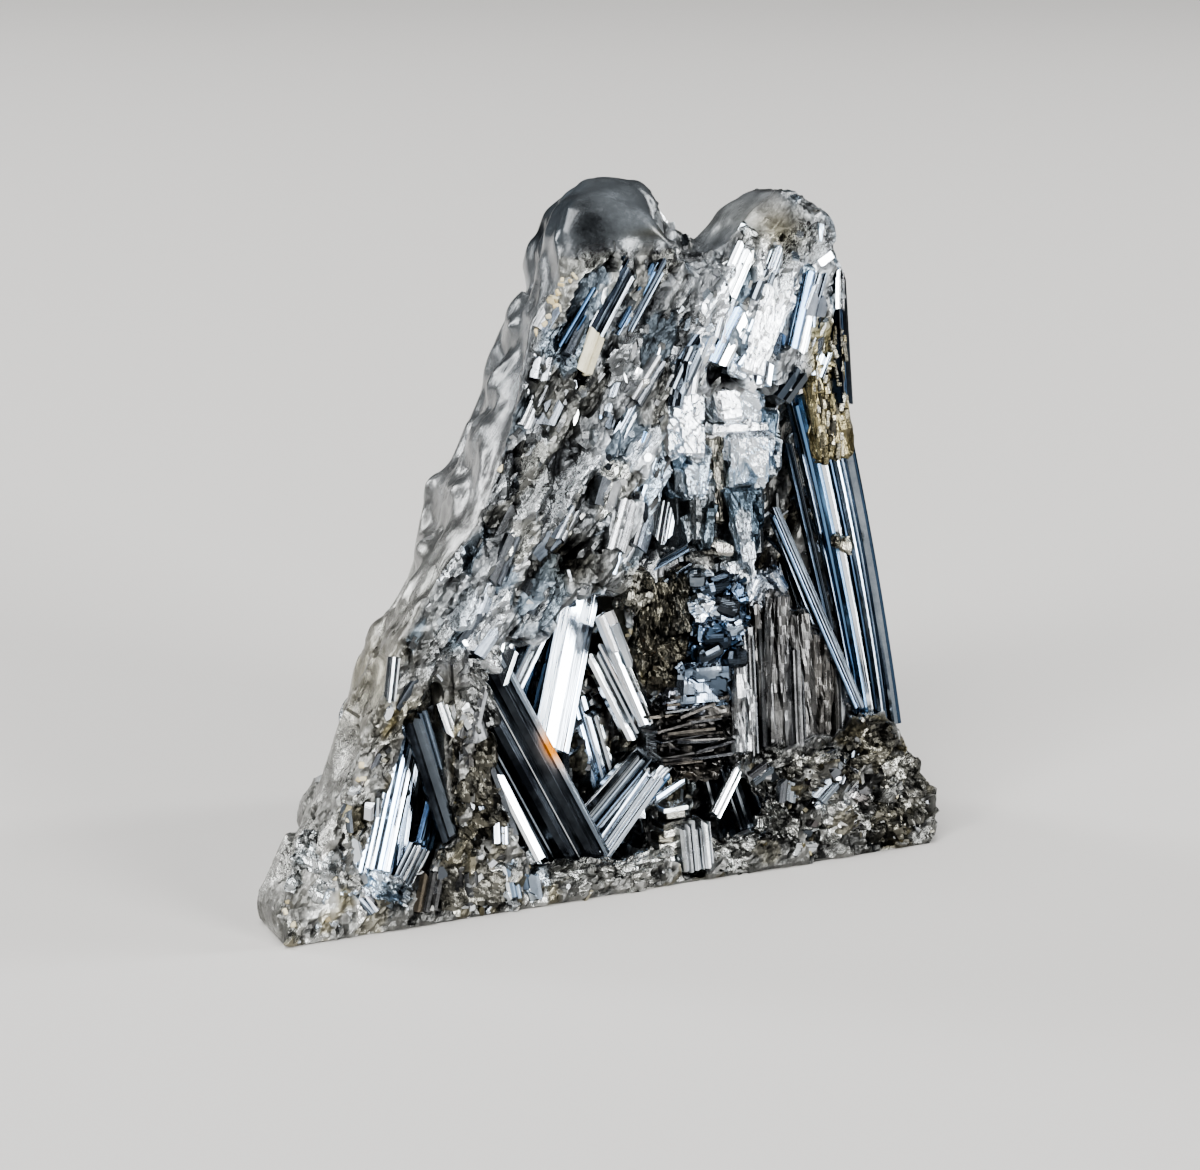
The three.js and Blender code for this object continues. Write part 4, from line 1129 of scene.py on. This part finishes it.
# Each group of masses: its rows, how it breaks, and the seed of its first mass
masses = {
    "blocks": (blocks, "block", 300), "brown": (brownMass, "crumb", 340), "fibre": (fibreMass, "fibre", 370),
    "etched": (etchedMass, "etched", 400), "plates": (plateMass, "plate", 410),
    "lump": (lumpMass, "lump", 420), "golden": (goldenCore, "fibre", 430), "arm": (armMass, "arm", 440),
    "dome": (domeMass, "dome", 450), "foot": (footMass, "lump", 460),
}
# The column's core, behind the blocks: middle, size
cores = [
    ((13.9, 37.6, 5.0), (10.0, 3.2, 15.8)),
    ((12.6, 25.0, 4.8), (5.4, 3.6, 11.0)),
    ((9.4, 14.8, 4.8), (8.4, 3.6, 8.0)),
]
coreWear = 0.2
coreValues = {"tone": 0.16, "blue": 0.4, "gold": 0}
# Loose lumps and plates, stacked up the column
lumps = {
    "count": 9, "x": (9.4, 15.6), "up": (20.8, 29.0), "width": (1.8, 4.0), "height": (1.4, 2.6),
    "thickness": 2.6, "depth": (1.5, 2.4), "turn": 16, "wear": 0.42,
}
plates = {
    "count": 20, "x": (4.8, 13.5), "up": (11.4, 18.0), "width": (3.0, 7.0), "height": (0.2, 0.45),
    "thicknessRange": (2.4, 3.4), "depth": (2.2, 2.8), "turn": 5, "wear": 0.15,
}
roundWear = 0.25  # worn more than this, an edge is rounded in three steps


# A block with worn edges, laid on the leaning face, as points, faces and lengths for its grooves
def makeLump(middle, size, turnDegrees, worn, values):
    shape = bmesh.new()
    bmesh.ops.create_cube(shape, size=1)
    bmesh.ops.scale(shape, verts=shape.verts, vec=size)
    steps = 3 if worn > roundWear else 1
    bmesh.ops.bevel(shape, geom=shape.edges[:], offset=worn * min(size), segments=steps, profile=0.5,
                    affect="EDGES", material=-1)
    for degrees, axis in zip(turnDegrees, "XYZ"):
        bmesh.ops.rotate(shape, verts=shape.verts, matrix=turnedBy(degrees, axis))
    points, faces = pointsAndFaces(shape)
    mirrored = points * np.array([1, 1, -1])
    placed = toWorld(mirrored[:, [0, 2, 1]] * np.array([1, -1, 1]) + np.array(middle))
    return {"points": placed, "faces": faces, "uvs": points[:, [2, 0]] + middle[0], **values}


# A hackly mass starts as a block: its bevel as a share of its least size, and the cuts of each edge. Its
# cells tilt their facets, share the tone with the fine cells, and vary the blue around its own.
hacklyBlock = {
    "bevel": 0.16, "cuts": 15, "tilt": 0.9, "cellMiddle": 0.6, "cellShare": 0.6, "fineMiddle": 0.5,
    "fineShare": 0.4, "blue": (0.4, 1.6), "fineSeed": 50,
}


# A mass with a hackly surface: its own cells of steps and facets, each with its tone
def makeHackly(middle, size, turnDegrees, narrowing, tone, blue, gold, way, seed):
    broken = breaks[way]
    shape = bmesh.new()
    bmesh.ops.create_cube(shape, size=1)
    bmesh.ops.scale(shape, verts=shape.verts, vec=size)
    bmesh.ops.bevel(shape, geom=shape.edges[:], offset=hacklyBlock["bevel"] * min(size), segments=1,
                    profile=0.5, affect="EDGES", material=-1)
    bmesh.ops.subdivide_edges(shape, edges=shape.edges[:], cuts=hacklyBlock["cuts"], use_grid_fill=True)
    shape.normal_update()
    normals = np.array([v.normal for v in shape.verts])
    points, faces = pointsAndFaces(shape)
    draws, apart = cellField(points / np.array(broken["cell"]), seed)
    fine, fineApart = cellField(points / np.array(broken["fineCell"]), seed + hacklyBlock["fineSeed"])
    height = broken["amount"] * facetHeight(draws, apart, hacklyBlock["tilt"])
    height = height + broken["fineAmount"] * facetHeight(fine, fineApart)
    points = points + normals * height[:, None]
    points[:, 0] *= 1 - narrowing * (0.5 - points[:, 2] / size[2])
    mottle = (draws[:, 1] - hacklyBlock["cellMiddle"]) * hacklyBlock["cellShare"]
    mottle = mottle + (fine[:, 1] - hacklyBlock["fineMiddle"]) * hacklyBlock["fineShare"]
    turned = points
    for degrees, axis in zip(turnDegrees, "XYZ"):
        turned = turned @ np.array(turnedBy(degrees, axis).transposed())
    placed = toWorld(turned[:, [0, 2, 1]] + np.array(middle))
    return {
        "points": placed, "faces": faces, "uvs": points[:, [0, 2]] + middle[0],
        "tone": tone + broken["mottle"] * mottle, "blue": blue * between(hacklyBlock["blue"], draws[:, 2]),
        "gold": gold,
    }


def hacklyParts(name):
    rows, way, firstSeed = masses[name]
    return [makeHackly(*row, way, firstSeed + i) for i, row in enumerate(rows)]


# Lumps or plates one over the other, with values given by a function of the random numbers
def stackedParts(stack, shine, random):
    parts = []
    for i in range(stack["count"]):
        width = random.uniform(*stack["width"])
        thickness = stack["thickness"] if "thickness" in stack else random.uniform(*stack["thicknessRange"])
        height = random.uniform(*stack["height"])
        left, right = stack["x"]
        x = random.uniform(left + width / 2, right - width / 2)
        up = between(stack["up"], i / (stack["count"] - 1))
        values = shine(random)
        middle = (x, up, random.uniform(*stack["depth"]))
        size, turns = (width, thickness, height), random.normal(0, stack["turn"], 3)
        parts.append(makeLump(middle, size, turns, stack["wear"], values))
    return parts


def lumpShine(random):
    return {"tone": random.random() ** 1.6 * 0.8, "blue": random.uniform(0.0, 0.6), "gold": 0}


def plateShine(random):
    return {"tone": random.uniform(-0.1, 0.2), "blue": 0.05, "gold": random.random() * 0.6}


blockSeed = 33


def makeBlocks():
    random = np.random.default_rng(blockSeed)
    parts = hacklyParts("blocks")
    parts += [makeLump(middle, size, (0, 0, 0), coreWear, coreValues) for middle, size in cores]
    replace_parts(joinStrips("stepped_blocks", parts, granular), "stepped_column")
    for name in ("brown", "lump", "foot"):
        joinStrips(name + "_mass", hacklyParts(name), granular)
    parts = stackedParts(lumps, lumpShine, random) + hacklyParts("etched") + hacklyParts("dome")
    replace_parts(joinStrips("shiny_lumps", parts, bladed), "stepped_column")
    parts = stackedParts(plates, plateShine, random) + hacklyParts("plates")
    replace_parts(joinStrips("thin_plates", parts, fibrous), "stepped_column")


footBundle = {
    "foot": (8.4, 0.9, 1.3), "head": (8.2, 6.0, 1.4), "roll": 4, "width": 3.3, "thickness": 2.4, "seed": 34,
}


def makeFootBundle():
    random = np.random.default_rng(footBundle["seed"])
    place, length = placeBetween(footBundle["foot"], footBundle["head"], footBundle["roll"])
    look = {**plainBlade, "strips": 7, "tilt": 8, "uneven": 0.1, "step": 0.3, "tone": (0.2, 1.0), "blue": 0.1,
            "strip": {"groove": 0.15, "grooveDepth": 0.08}}
    parts = growCrystal(place, (footBundle["width"], footBundle["thickness"], length), look, random)
    piece = joinStrips("foot_bundle_grown", parts, fibrous)
    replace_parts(piece, "foot_bundle")


makeNeedles()
makeColumns()
makeBlocks()
makeFootBundle()
print("bundles grown")


firstSurfaceSeed = 200
# Blades on the body's own surface: from, to, width, thickness, roll, strips and tone
surfaceBlades = {
    "trunk_grooved_blades": [
        ((-2.6, 51.2, 0.1), (2.4, 57.8, 0.3), 1.9, 1.2, 16, 6, (-0.1, 0.5)),
        ((0.0, 51.8, 0.0), (5.4, 59.6, 0.4), 1.9, 1.2, -14, 6, (-0.1, 0.6)),
        ((3.0, 52.0, 0.1), (8.2, 59.4, 0.4), 1.7, 1.2, 12, 5, (-0.1, 0.6)),
        ((-6.4, 43.0, 0.7), (-2.2, 50.0, 0.6), 1.6, 1.2, -8, 4, (0.1, 0.5)),
        ((-1.8, 38.6, 0.6), (2.0, 45.6, 0.6), 1.9, 1.2, 10, 4, (0.2, 0.6)),
        ((0.4, 30.2, 0.4), (3.2, 37.0, 0.4), 2.2, 1.2, 8, 3, (0.5, 0.95)),
        ((3.4, 36.6, 0.5), (6.4, 43.4, 0.5), 2.0, 1.2, -8, 3, (0.4, 0.9)),
    ],
    "arm_bright_plates": [
        ((12.8, 48.6, 0.4), (16.6, 54.6, 0.5), 2.2, 1.2, 10, 2, (0.5, 1.0)),
        ((21.4, 49.4, 0.5), (24.0, 57.6, 0.5), 2.2, 1.2, 4, 2, (0.5, 0.9)),
        ((14.2, 55.0, 0.5), (17.0, 59.8, 0.7), 2.0, 1.2, -12, 2, (0.6, 1.0)),
        ((18.6, 56.2, 0.5), (20.8, 60.6, 0.7), 1.8, 1.2, 8, 1, (0.7, 1.0)),
    ],
    "brown_plates": [
        ((-14.4, 9.6, 0.35), (-14.3, 16.6, 0.35), 2.2, 1.2, 4, 2, (0.02, 0.16)),
        ((-14.4, 16.2, 0.6), (-12.4, 22.6, 0.5), 2.0, 1.6, -6, 2, (0.1, 0.3)),
        ((-12.6, 15.6, 0.4), (-14.2, 21.6, 0.5), 1.3, 1.4, 8, 1, (0.2, 0.4)),
        ((-15.4, 0.9, 0.6), (-15.3, 5.6, 0.5), 2.6, 1.6, -4, 2, (0.0, 0.15)),
        ((-19.4, 1.0, 0.6), (-18.2, 5.4, 0.5), 2.6, 1.6, 6, 3, (0.0, 0.4)),
        ((-16.8, 5.2, 0.7), (-9.2, 6.2, 0.8), 1.5, 1.6, 0, 2, (0.1, 0.4)),
    ],
    "arm_blue_strips": [
        ((26.6, 43.6, 1.2), (26.4, 58.0, 1.2), 2.2, 1.6, 30, 2, (-0.1, 0.12)),
        ((23.6, 51.0, 0.6), (24.2, 57.4, 0.6), 1.1, 1.0, 10, 2, (0.2, 0.6)),
    ],
    "foot_facets": [
        ((-10.6, 1.2, 0.3), (-11.2, 5.4, 0.3), 1.4, 1.0, 8, 3, (0.4, 0.9)),
        ((-8.6, 0.8, 0.4), (-8.9, 3.8, 0.4), 1.6, 1.0, -12, 2, (0.3, 0.9)),
    ],
}

for seed, (name, rows) in enumerate(surfaceBlades.items()):
    random = np.random.default_rng(firstSurfaceSeed + seed)
    parts = []
    for start, end, width, thickness, roll, strips, tone in rows:
        place, length = placeBetween(start, end, roll)
        brown = name == "brown_plates"
        look = {**plainBlade, "strips": strips, "tone": tone, "blue": 0.0 if brown else 1.3, "tilt": 6,
                "uneven": 0.2, "gold": 0.8 if brown else 0.0}
        parts += growCrystal(place, (width, thickness, length), look, random)
    joinStrips(name, parts, fibrous if brown else bladed)

# More crystals that stand in the hollow: from, to, width, thickness, roll, strips, tone, blue, gold
vugBlades = [
    ((-8.6, 24.4, 1.8), (-10.2, 20.8, 1.8), 1.3, 1.0, 20, 1, 1.0, 0.0, 0),
    ((-5.2, 24.8, 2.8), (-8.4, 19.6, 2.8), 0.8, 0.8, 10, 1, 0.9, 0.3, 0),
    ((-3.0, 28.4, 4.6), (-8.2, 19.4, 5.2), 1.1, 1.0, -18, 2, 0.5, 0.8, 0),
    ((-4.2, 28.2, 5.6), (-9.2, 18.6, 6.2), 1.0, 1.0, 14, 2, 0.3, 0.9, 0),
    ((0.6, 26.8, 1.6), (2.2, 22.4, 1.8), 1.7, 1.4, 8, 2, 0.85, 0.1, 0.1),
    ((1.4, 25.6, 1.2), (3.0, 21.0, 1.6), 0.8, 1.0, -14, 1, 0.6, 0.1, 0.2),
    ((-3.0, 4.6, 3.4), (4.6, 12.4, 2.2), 2.4, 1.0, 8, 4, 0.5, 0.4, 0),
    ((-1.6, 2.7, 2.6), (5.4, 11.0, 1.7), 2.0, 1.0, -2, 4, 0.7, 0.5, 0),
    ((2.2, 8.2, 3.2), (4.6, 5.8, 3.0), 1.3, 0.6, 12, 1, 0.6, 0.2, 0),
    ((0.6, 9.4, 3.0), (4.8, 10.8, 3.0), 0.9, 0.8, -10, 2, 0.7, 0.3, 0),
    ((-0.6, 6.8, 4.6), (5.6, 9.8, 3.8), 0.9, 0.9, 22, 2, 0.25, 0.3, 0.2),
    ((1.4, 5.2, 4.4), (6.2, 8.2, 4.0), 0.8, 0.8, -20, 2, 0.4, 0.3, 0.2),
    ((23.0, 44.8, 4.4), (27.6, 24.6, 4.4), 0.9, 0.9, 20, 2, 0.35, 0.7, 0),
    ((23.0, 41.0, 6.2), (27.0, 20.2, 6.0), 0.9, 0.9, -20, 2, 0.2, 0.8, 0),
    ((20.8, 33.0, 5.4), (26.6, 16.6, 4.8), 0.8, 0.8, 10, 2, 0.25, 0.5, 0.3),
    ((21.6, 30.0, 5.8), (25.6, 15.2, 5.4), 0.7, 0.7, -25, 1, 0.5, 0.6, 0),
    ((10.4, 31.8, 2.8), (5.0, 29.4, 3.4), 0.9, 0.8, 25, 2, 0.35, 0.8, 0),
    ((10.6, 30.0, 2.8), (4.8, 27.0, 3.2), 0.8, 0.8, -15, 2, 0.2, 0.5, 0),
    ((10.8, 28.8, 3.0), (6.0, 28.2, 3.2), 0.6, 0.6, 10, 1, 0.6, 0.4, 0),
    ((10.2, 36.6, 6.2), (11.9, 32.4, 5.8), 1.9, 0.8, 14, 1, 0.6, 0.0, 0.4),
    ((9.6, 33.6, 4.6), (5.4, 28.0, 4.8), 0.7, 0.7, 0, 1, 0.3, 0.8, 0),
    ((8.9, 36.6, 4.3), (7.3, 31.2, 3.9), 2.3, 0.8, 14, 1, 0.45, 0.1, 0.3),
    ((-20.8, 25.2, -0.1), (-21.6, 20.8, -0.1), 1.1, 0.7, 12, 2, 0.85, 0.1, 0),
    ((-16.6, 20.6, 0.2), (-15.5, 16.8, 0.3), 1.1, 0.8, -8, 2, 0.8, 0.2, 0),
    ((-18.2, 19.8, 0.9), (-16.8, 13.8, 1.0), 0.9, 0.8, 10, 2, 0.35, 0.7, 0),
    ((-26.6, 9.4, 0.8), (-22.4, 17.2, 0.6), 1.0, 0.8, 16, 2, 0.5, 0.3, 0.2),
    ((-12.9, 4.6, 0.9), (-9.4, 4.9, 0.9), 0.5, 0.8, 0, 1, 0.8, 0, 0),
]
vugSeed = 51
# The layered brown-grey crystals at the hollow's foot: blocks stacked one over the other
layered = {
    "stacks": [
        {"x": (-12.4, -12.4), "up": (0.8, 5.4), "depth": 0.3, "width": 2.2, "count": 9, "tone": (0.05, 0.9)},
        {"x": (5.2, 7.0), "up": (1.2, 7.4), "depth": 1.4, "width": 2.6, "count": 9, "tone": (0.05, 0.7)},
    ],
    "gold": 0.6, "turn": 4, "wear": 0.12, "seed": 52,
}


def makeVugCrystals():
    random = np.random.default_rng(vugSeed)
    parts = []
    for start, end, width, thickness, roll, strips, tone, blue, gold in vugBlades:
        place, length = placeBetween(start, end, roll)
        look = {**plainBlade, "strips": strips, "tone": (max(0, tone - 0.15), tone + 0.1), "blue": blue,
                "gold": gold, "tilt": 5}
        parts += growCrystal(place, (width, thickness, length), look, random)
    joinStrips("hollow_blades", parts, bladed)

    random = np.random.default_rng(layered["seed"])
    parts = []
    for stack in layered["stacks"]:
        low, high = stack["up"]
        for i in range(stack["count"]):
            share = (i + 0.5) / stack["count"]
            x = between(stack["x"], share) + random.normal(0, 0.12)
            size = (stack["width"] * random.uniform(0.75, 1.05), 2.2,
                    (high - low) / stack["count"] * random.uniform(0.8, 1.25))
            tone, gold = random.uniform(*stack["tone"]), random.random() * layered["gold"]
            middle = (x, between(stack["up"], share), stack["depth"] + random.uniform(0.8, 1.3))
            turns, values = random.normal(0, layered["turn"], 3), {"tone": tone, "blue": 0, "gold": gold}
            parts.append(makeLump(middle, size, turns, layered["wear"], values))
    joinStrips("layered_crystals", parts, granular)


makeVugCrystals()
print("hollow crystals set")

# Blades scattered on each kind of surface: how many, their size in mm, their angles, how proud they
# stand, how far they lean out of the surface, and how they shine
scatteredBlades = {
    "small_hollow_blades": {
        "zone": "hollow", "count": 190, "length": (1.6, 5.5), "width": (0.3, 0.9),
        "angles": (62, 118, 95, 30), "spread": 9, "proud": 0.5, "lean": 0.4, "roll": 40,
        "tone": (-0.1, 0.8), "blue": 0.6, "gold": 0.1,
        "seed": 41, "faceOn": False, "stray": 3.0,
    },
    "trunk_cleavages": {
        "zone": "trunk", "count": 30, "length": (2.0, 6.0), "width": (1.2, 2.6), "angles": (58, 58, 52),
        "spread": 7, "proud": 0.1, "lean": 0.02, "roll": 8, "tone": (0.05, 0.6), "blue": 0.5, "gold": 0.05,
        "seed": 42, "faceOn": True, "stray": 0.9, "material": fibrous,
    },
    "arm_cleavages": {
        "zone": "arm", "count": 26, "length": (2.0, 5.0), "width": (0.9, 2.2), "angles": (66, 60, 74),
        "spread": 8, "proud": 0.2, "lean": 0.04, "roll": 12, "tone": (0.15, 0.85), "blue": 0.5, "gold": 0.1,
        "seed": 43, "faceOn": True, "stray": 0.8,
    },
    "foot_cleavages": {
        "zone": "foot", "count": 20, "length": (1.4, 4.5), "width": (0.7, 1.8), "angles": (60, 84, 100),
        "spread": 10, "proud": 0.35, "lean": 0.08, "roll": 18, "tone": (-0.1, 1.0), "blue": 0.3,
        "gold": 0.2, "seed": 44, "faceOn": True, "stray": 0.8,
    },
    "lump_cleavages": {
        "zone": "lump", "count": 30, "length": (1.0, 3.0), "width": (0.7, 2.0),
        "angles": (15, 60, 110, 160), "spread": 25, "proud": 0.3, "lean": 0.12, "roll": 25,
        "tone": (-0.1, 0.7), "blue": 0.0,
        "gold": 0.35, "seed": 45, "faceOn": True, "stray": 0.8,
    },
    "back_cleavages": {
        "zone": "back", "count": 90, "length": (4.0, 15.0), "width": (0.8, 2.0), "angles": (84, 87),
        "spread": 3, "proud": 0.15, "lean": 0.01, "roll": 10, "tone": (0.05, 0.7), "blue": 0.3, "gold": 0.1,
        "seed": 46, "faceOn": False, "stray": 0.8, "material": fibrous,
    },
}


def scatterBlades(name, kind):
    random = np.random.default_rng(kind["seed"])

    def weights(faceMm, zones):
        share = zones[kind["zone"]] * zones["low"] + 1e-6
        return share * zones["faceOn"] if kind["faceOn"] else share

    places, normals = bodySamples(weights, kind["count"], random)
    parts = []
    for spot, normal in zip(places, normals):
        angle = math.radians(random.choice(kind["angles"]) + random.normal(0, kind["spread"]))
        lie = math.cos(angle) * faceAxes[0] + math.sin(angle) * faceAxes[1]
        lie = lie - (lie @ normal) * normal
        lie = lie / np.linalg.norm(lie) + normal * random.normal(0, kind["lean"])
        length, width = random.uniform(*kind["length"]), random.uniform(*kind["width"])
        thickness = width * random.uniform(0.4, 0.8)
        middle = spot - normal * thickness * (0.5 - kind["proud"]) * mm
        half = lie * length / 2 * mm
        ends = (middle - half, middle + half)
        strays = max(bodyTree.find(end)[2] for end in ends) > kind["stray"] * mm
        if strays or min(end[2] for end in ends) < width * mm:
            continue
        place, length = placeAlong(*ends, normal, random.normal(0, kind["roll"]))
        shine = random.uniform(*kind["tone"])
        look = {
            **plainBlade, "strips": 1 if width < 1.2 else 2, "tone": (shine - 0.08, shine + 0.08),
            "blue": kind["blue"], "gold": kind["gold"], "strip": {"groove": max(0.25, width / 5)},
        }
        parts += growCrystal(place, (width, thickness, length), look, random)
    joinStrips(name, parts, kind.get("material", bladed))


for name, kind in scatteredBlades.items():
    scatterBlades(name, kind)

# Golden fibrous mass over the heads of the right needles: a core with short grains on it
goldenMass = {
    "count": 110, "x": (23.3, 26.9), "up": (39.4, 51.2), "depth": (0.6, 1.1), "length": (0.6, 2.2),
    "width": (0.25, 0.6), "thickness": 0.8, "turn": 9, "wear": 0.2, "seed": 62,
}


def makeGoldenMass():
    random = np.random.default_rng(goldenMass["seed"])
    parts = hacklyParts("golden")
    for _ in range(goldenMass["count"]):
        place = [random.uniform(*goldenMass[key]) for key in ("x", "up", "depth")]
        width, length = [random.uniform(*goldenMass[key]) for key in ("width", "length")]
        values = {"tone": random.uniform(0.0, 0.7), "blue": 0, "gold": random.uniform(0.5, 1)}
        size, turns = (width, goldenMass["thickness"], length), random.normal(0, goldenMass["turn"], 3)
        parts.append(makeLump(place, size, turns, goldenMass["wear"], values))
    joinStrips("golden_mass", parts, granular)


def makeArmMass():
    joinStrips("arm_mass", hacklyParts("arm"), granular)


makeGoldenMass()
makeArmMass()
print("masses on the needles and the arm set")

# Cream crusts where the granular face meets the worn flank, and a patch below the knob
crust = {
    "count": 34, "size": (0.3, 0.8), "thickness": 0.5, "seed": 61, "patch": (-4.9, 57.8), "reach": 1.5,
    "borderShare": 0.01, "sunk": 0.12, "turn": 20, "wear": 0.3,
}


def makeCrust():
    random = np.random.default_rng(crust["seed"])

    def weights(faceMm, zones):
        away = ((faceMm[:, :2] - np.array(crust["patch"])) ** 2).sum(1) / crust["reach"] ** 2
        return zones["front"] * (zones["border"] * zones["low"] * crust["borderShare"] + np.exp(-away)) + 1e-7

    places, normals = bodySamples(weights, crust["count"], random)
    parts = []
    for spot, normal in zip(places, normals):
        size = random.uniform(*crust["size"], 2)
        solid = (size[0], crust["thickness"], size[1])
        values = {"tone": random.random(), "blue": 0, "gold": random.random() * 0.6}
        middle = toFace(spot + normal * -crust["sunk"] * mm)
        parts.append(makeLump(middle, solid, random.normal(0, crust["turn"], 3), crust["wear"], values))
    joinStrips("ochre_crust", parts, ochre)


makeCrust()
print("crust set")

# Studio, in metres: a pale floor, a soft key in front, a strip on the right, soft light from the left and
# from above, and a rim light behind on the left
studio = {
    "floorSize": 150.0, "floorColour": "#cfcdca", "floorRoughness": 0.85, "target": (0, 0, 0.03),
    "worldColour": "#6c7078", "worldStrength": 0.14,
    "sun": {"from": (-0.55, -0.7, 0.95), "angle": 30.0, "strength": 1.9},
    "lights": {
        "key": {"from": (0.9, -1.95, 0.4), "size": (0.85, 1.05), "power": 64},
        "strip": {"from": (1.55, -0.25, 0.75), "size": (0.2, 1.25), "power": 13},
        "left": {"from": (-1.5, -0.75, 1.0), "size": (0.5, 0.75), "power": 16},
        "top": {"from": (-0.25, 0.25, 2.0), "size": (1.0, 1.0), "power": 19},
        "rim": {"from": (-1.25, 1.6, 0.9), "size": (0.5, 1.0), "power": 20},
    },
}


def makeStudio():
    world = bpy.context.scene.world or bpy.data.worlds.new("studio")
    bpy.context.scene.world = world
    world.use_nodes = True
    background = world.node_tree.nodes["Background"]
    background.inputs["Color"].default_value = linearColour(studio["worldColour"])
    background.inputs["Strength"].default_value = studio["worldStrength"]
    shape = bmesh.new()
    bmesh.ops.create_grid(shape, x_segments=1, y_segments=1, size=studio["floorSize"] / 2)
    mesh = bpy.data.meshes.new("floor")
    shape.to_mesh(mesh)
    shape.free()
    floor = addObject("floor", mesh)
    paint = bpy.data.materials.new("matt_pale_paper")
    paint.use_nodes = True
    bsdf = paint.node_tree.nodes["Principled BSDF"]
    bsdf.inputs["Base Color"].default_value = linearColour(studio["floorColour"])
    bsdf.inputs["Roughness"].default_value = studio["floorRoughness"]
    mesh.materials.append(paint)
    sun = bpy.data.lights.new("sun", "SUN")
    sun.angle = math.radians(studio["sun"]["angle"])
    sun.energy = studio["sun"]["strength"]
    holder = addObject("sun", sun)
    holder.rotation_euler = (-Vector(studio["sun"]["from"])).to_track_quat("-Z", "Y").to_euler()
    target = Vector(studio["target"])
    for name, light in studio["lights"].items():
        lamp = bpy.data.lights.new(name, "AREA")
        lamp.shape = "RECTANGLE"
        lamp.size, lamp.size_y = light["size"]
        lamp.energy = light["power"]
        holder = addObject(name, lamp)
        holder.location = light["from"]
        holder.rotation_euler = (target - holder.location).to_track_quat("-Z", "Y").to_euler()


# The camera looks from the left and a little above: angles in degrees, distances in metres, lens in mm
view = {
    "azimuth": -24.0, "elevation": 15.0, "distance": 0.255, "aim": (-0.0039, -0.0184, 0.031), "lens": 85,
    "clipStart": 0.01,
}


def makeCamera():
    azimuth, elevation = math.radians(view["azimuth"]), math.radians(view["elevation"])
    level = math.cos(elevation)
    away = Vector((math.sin(azimuth) * level, -math.cos(azimuth) * level, math.sin(elevation)))
    data = bpy.data.cameras.new("camera")
    data.lens = view["lens"]
    data.clip_start = view["clipStart"]
    camera = addObject("camera", data)
    camera.location = Vector(view["aim"]) + away * view["distance"]
    camera.rotation_euler = (-away).to_track_quat("-Z", "Y").to_euler()
    bpy.context.scene.camera = camera


makeStudio()
makeCamera()
bpy.context.scene.view_settings.look = "AgX - Medium High Contrast"
print("studio set")
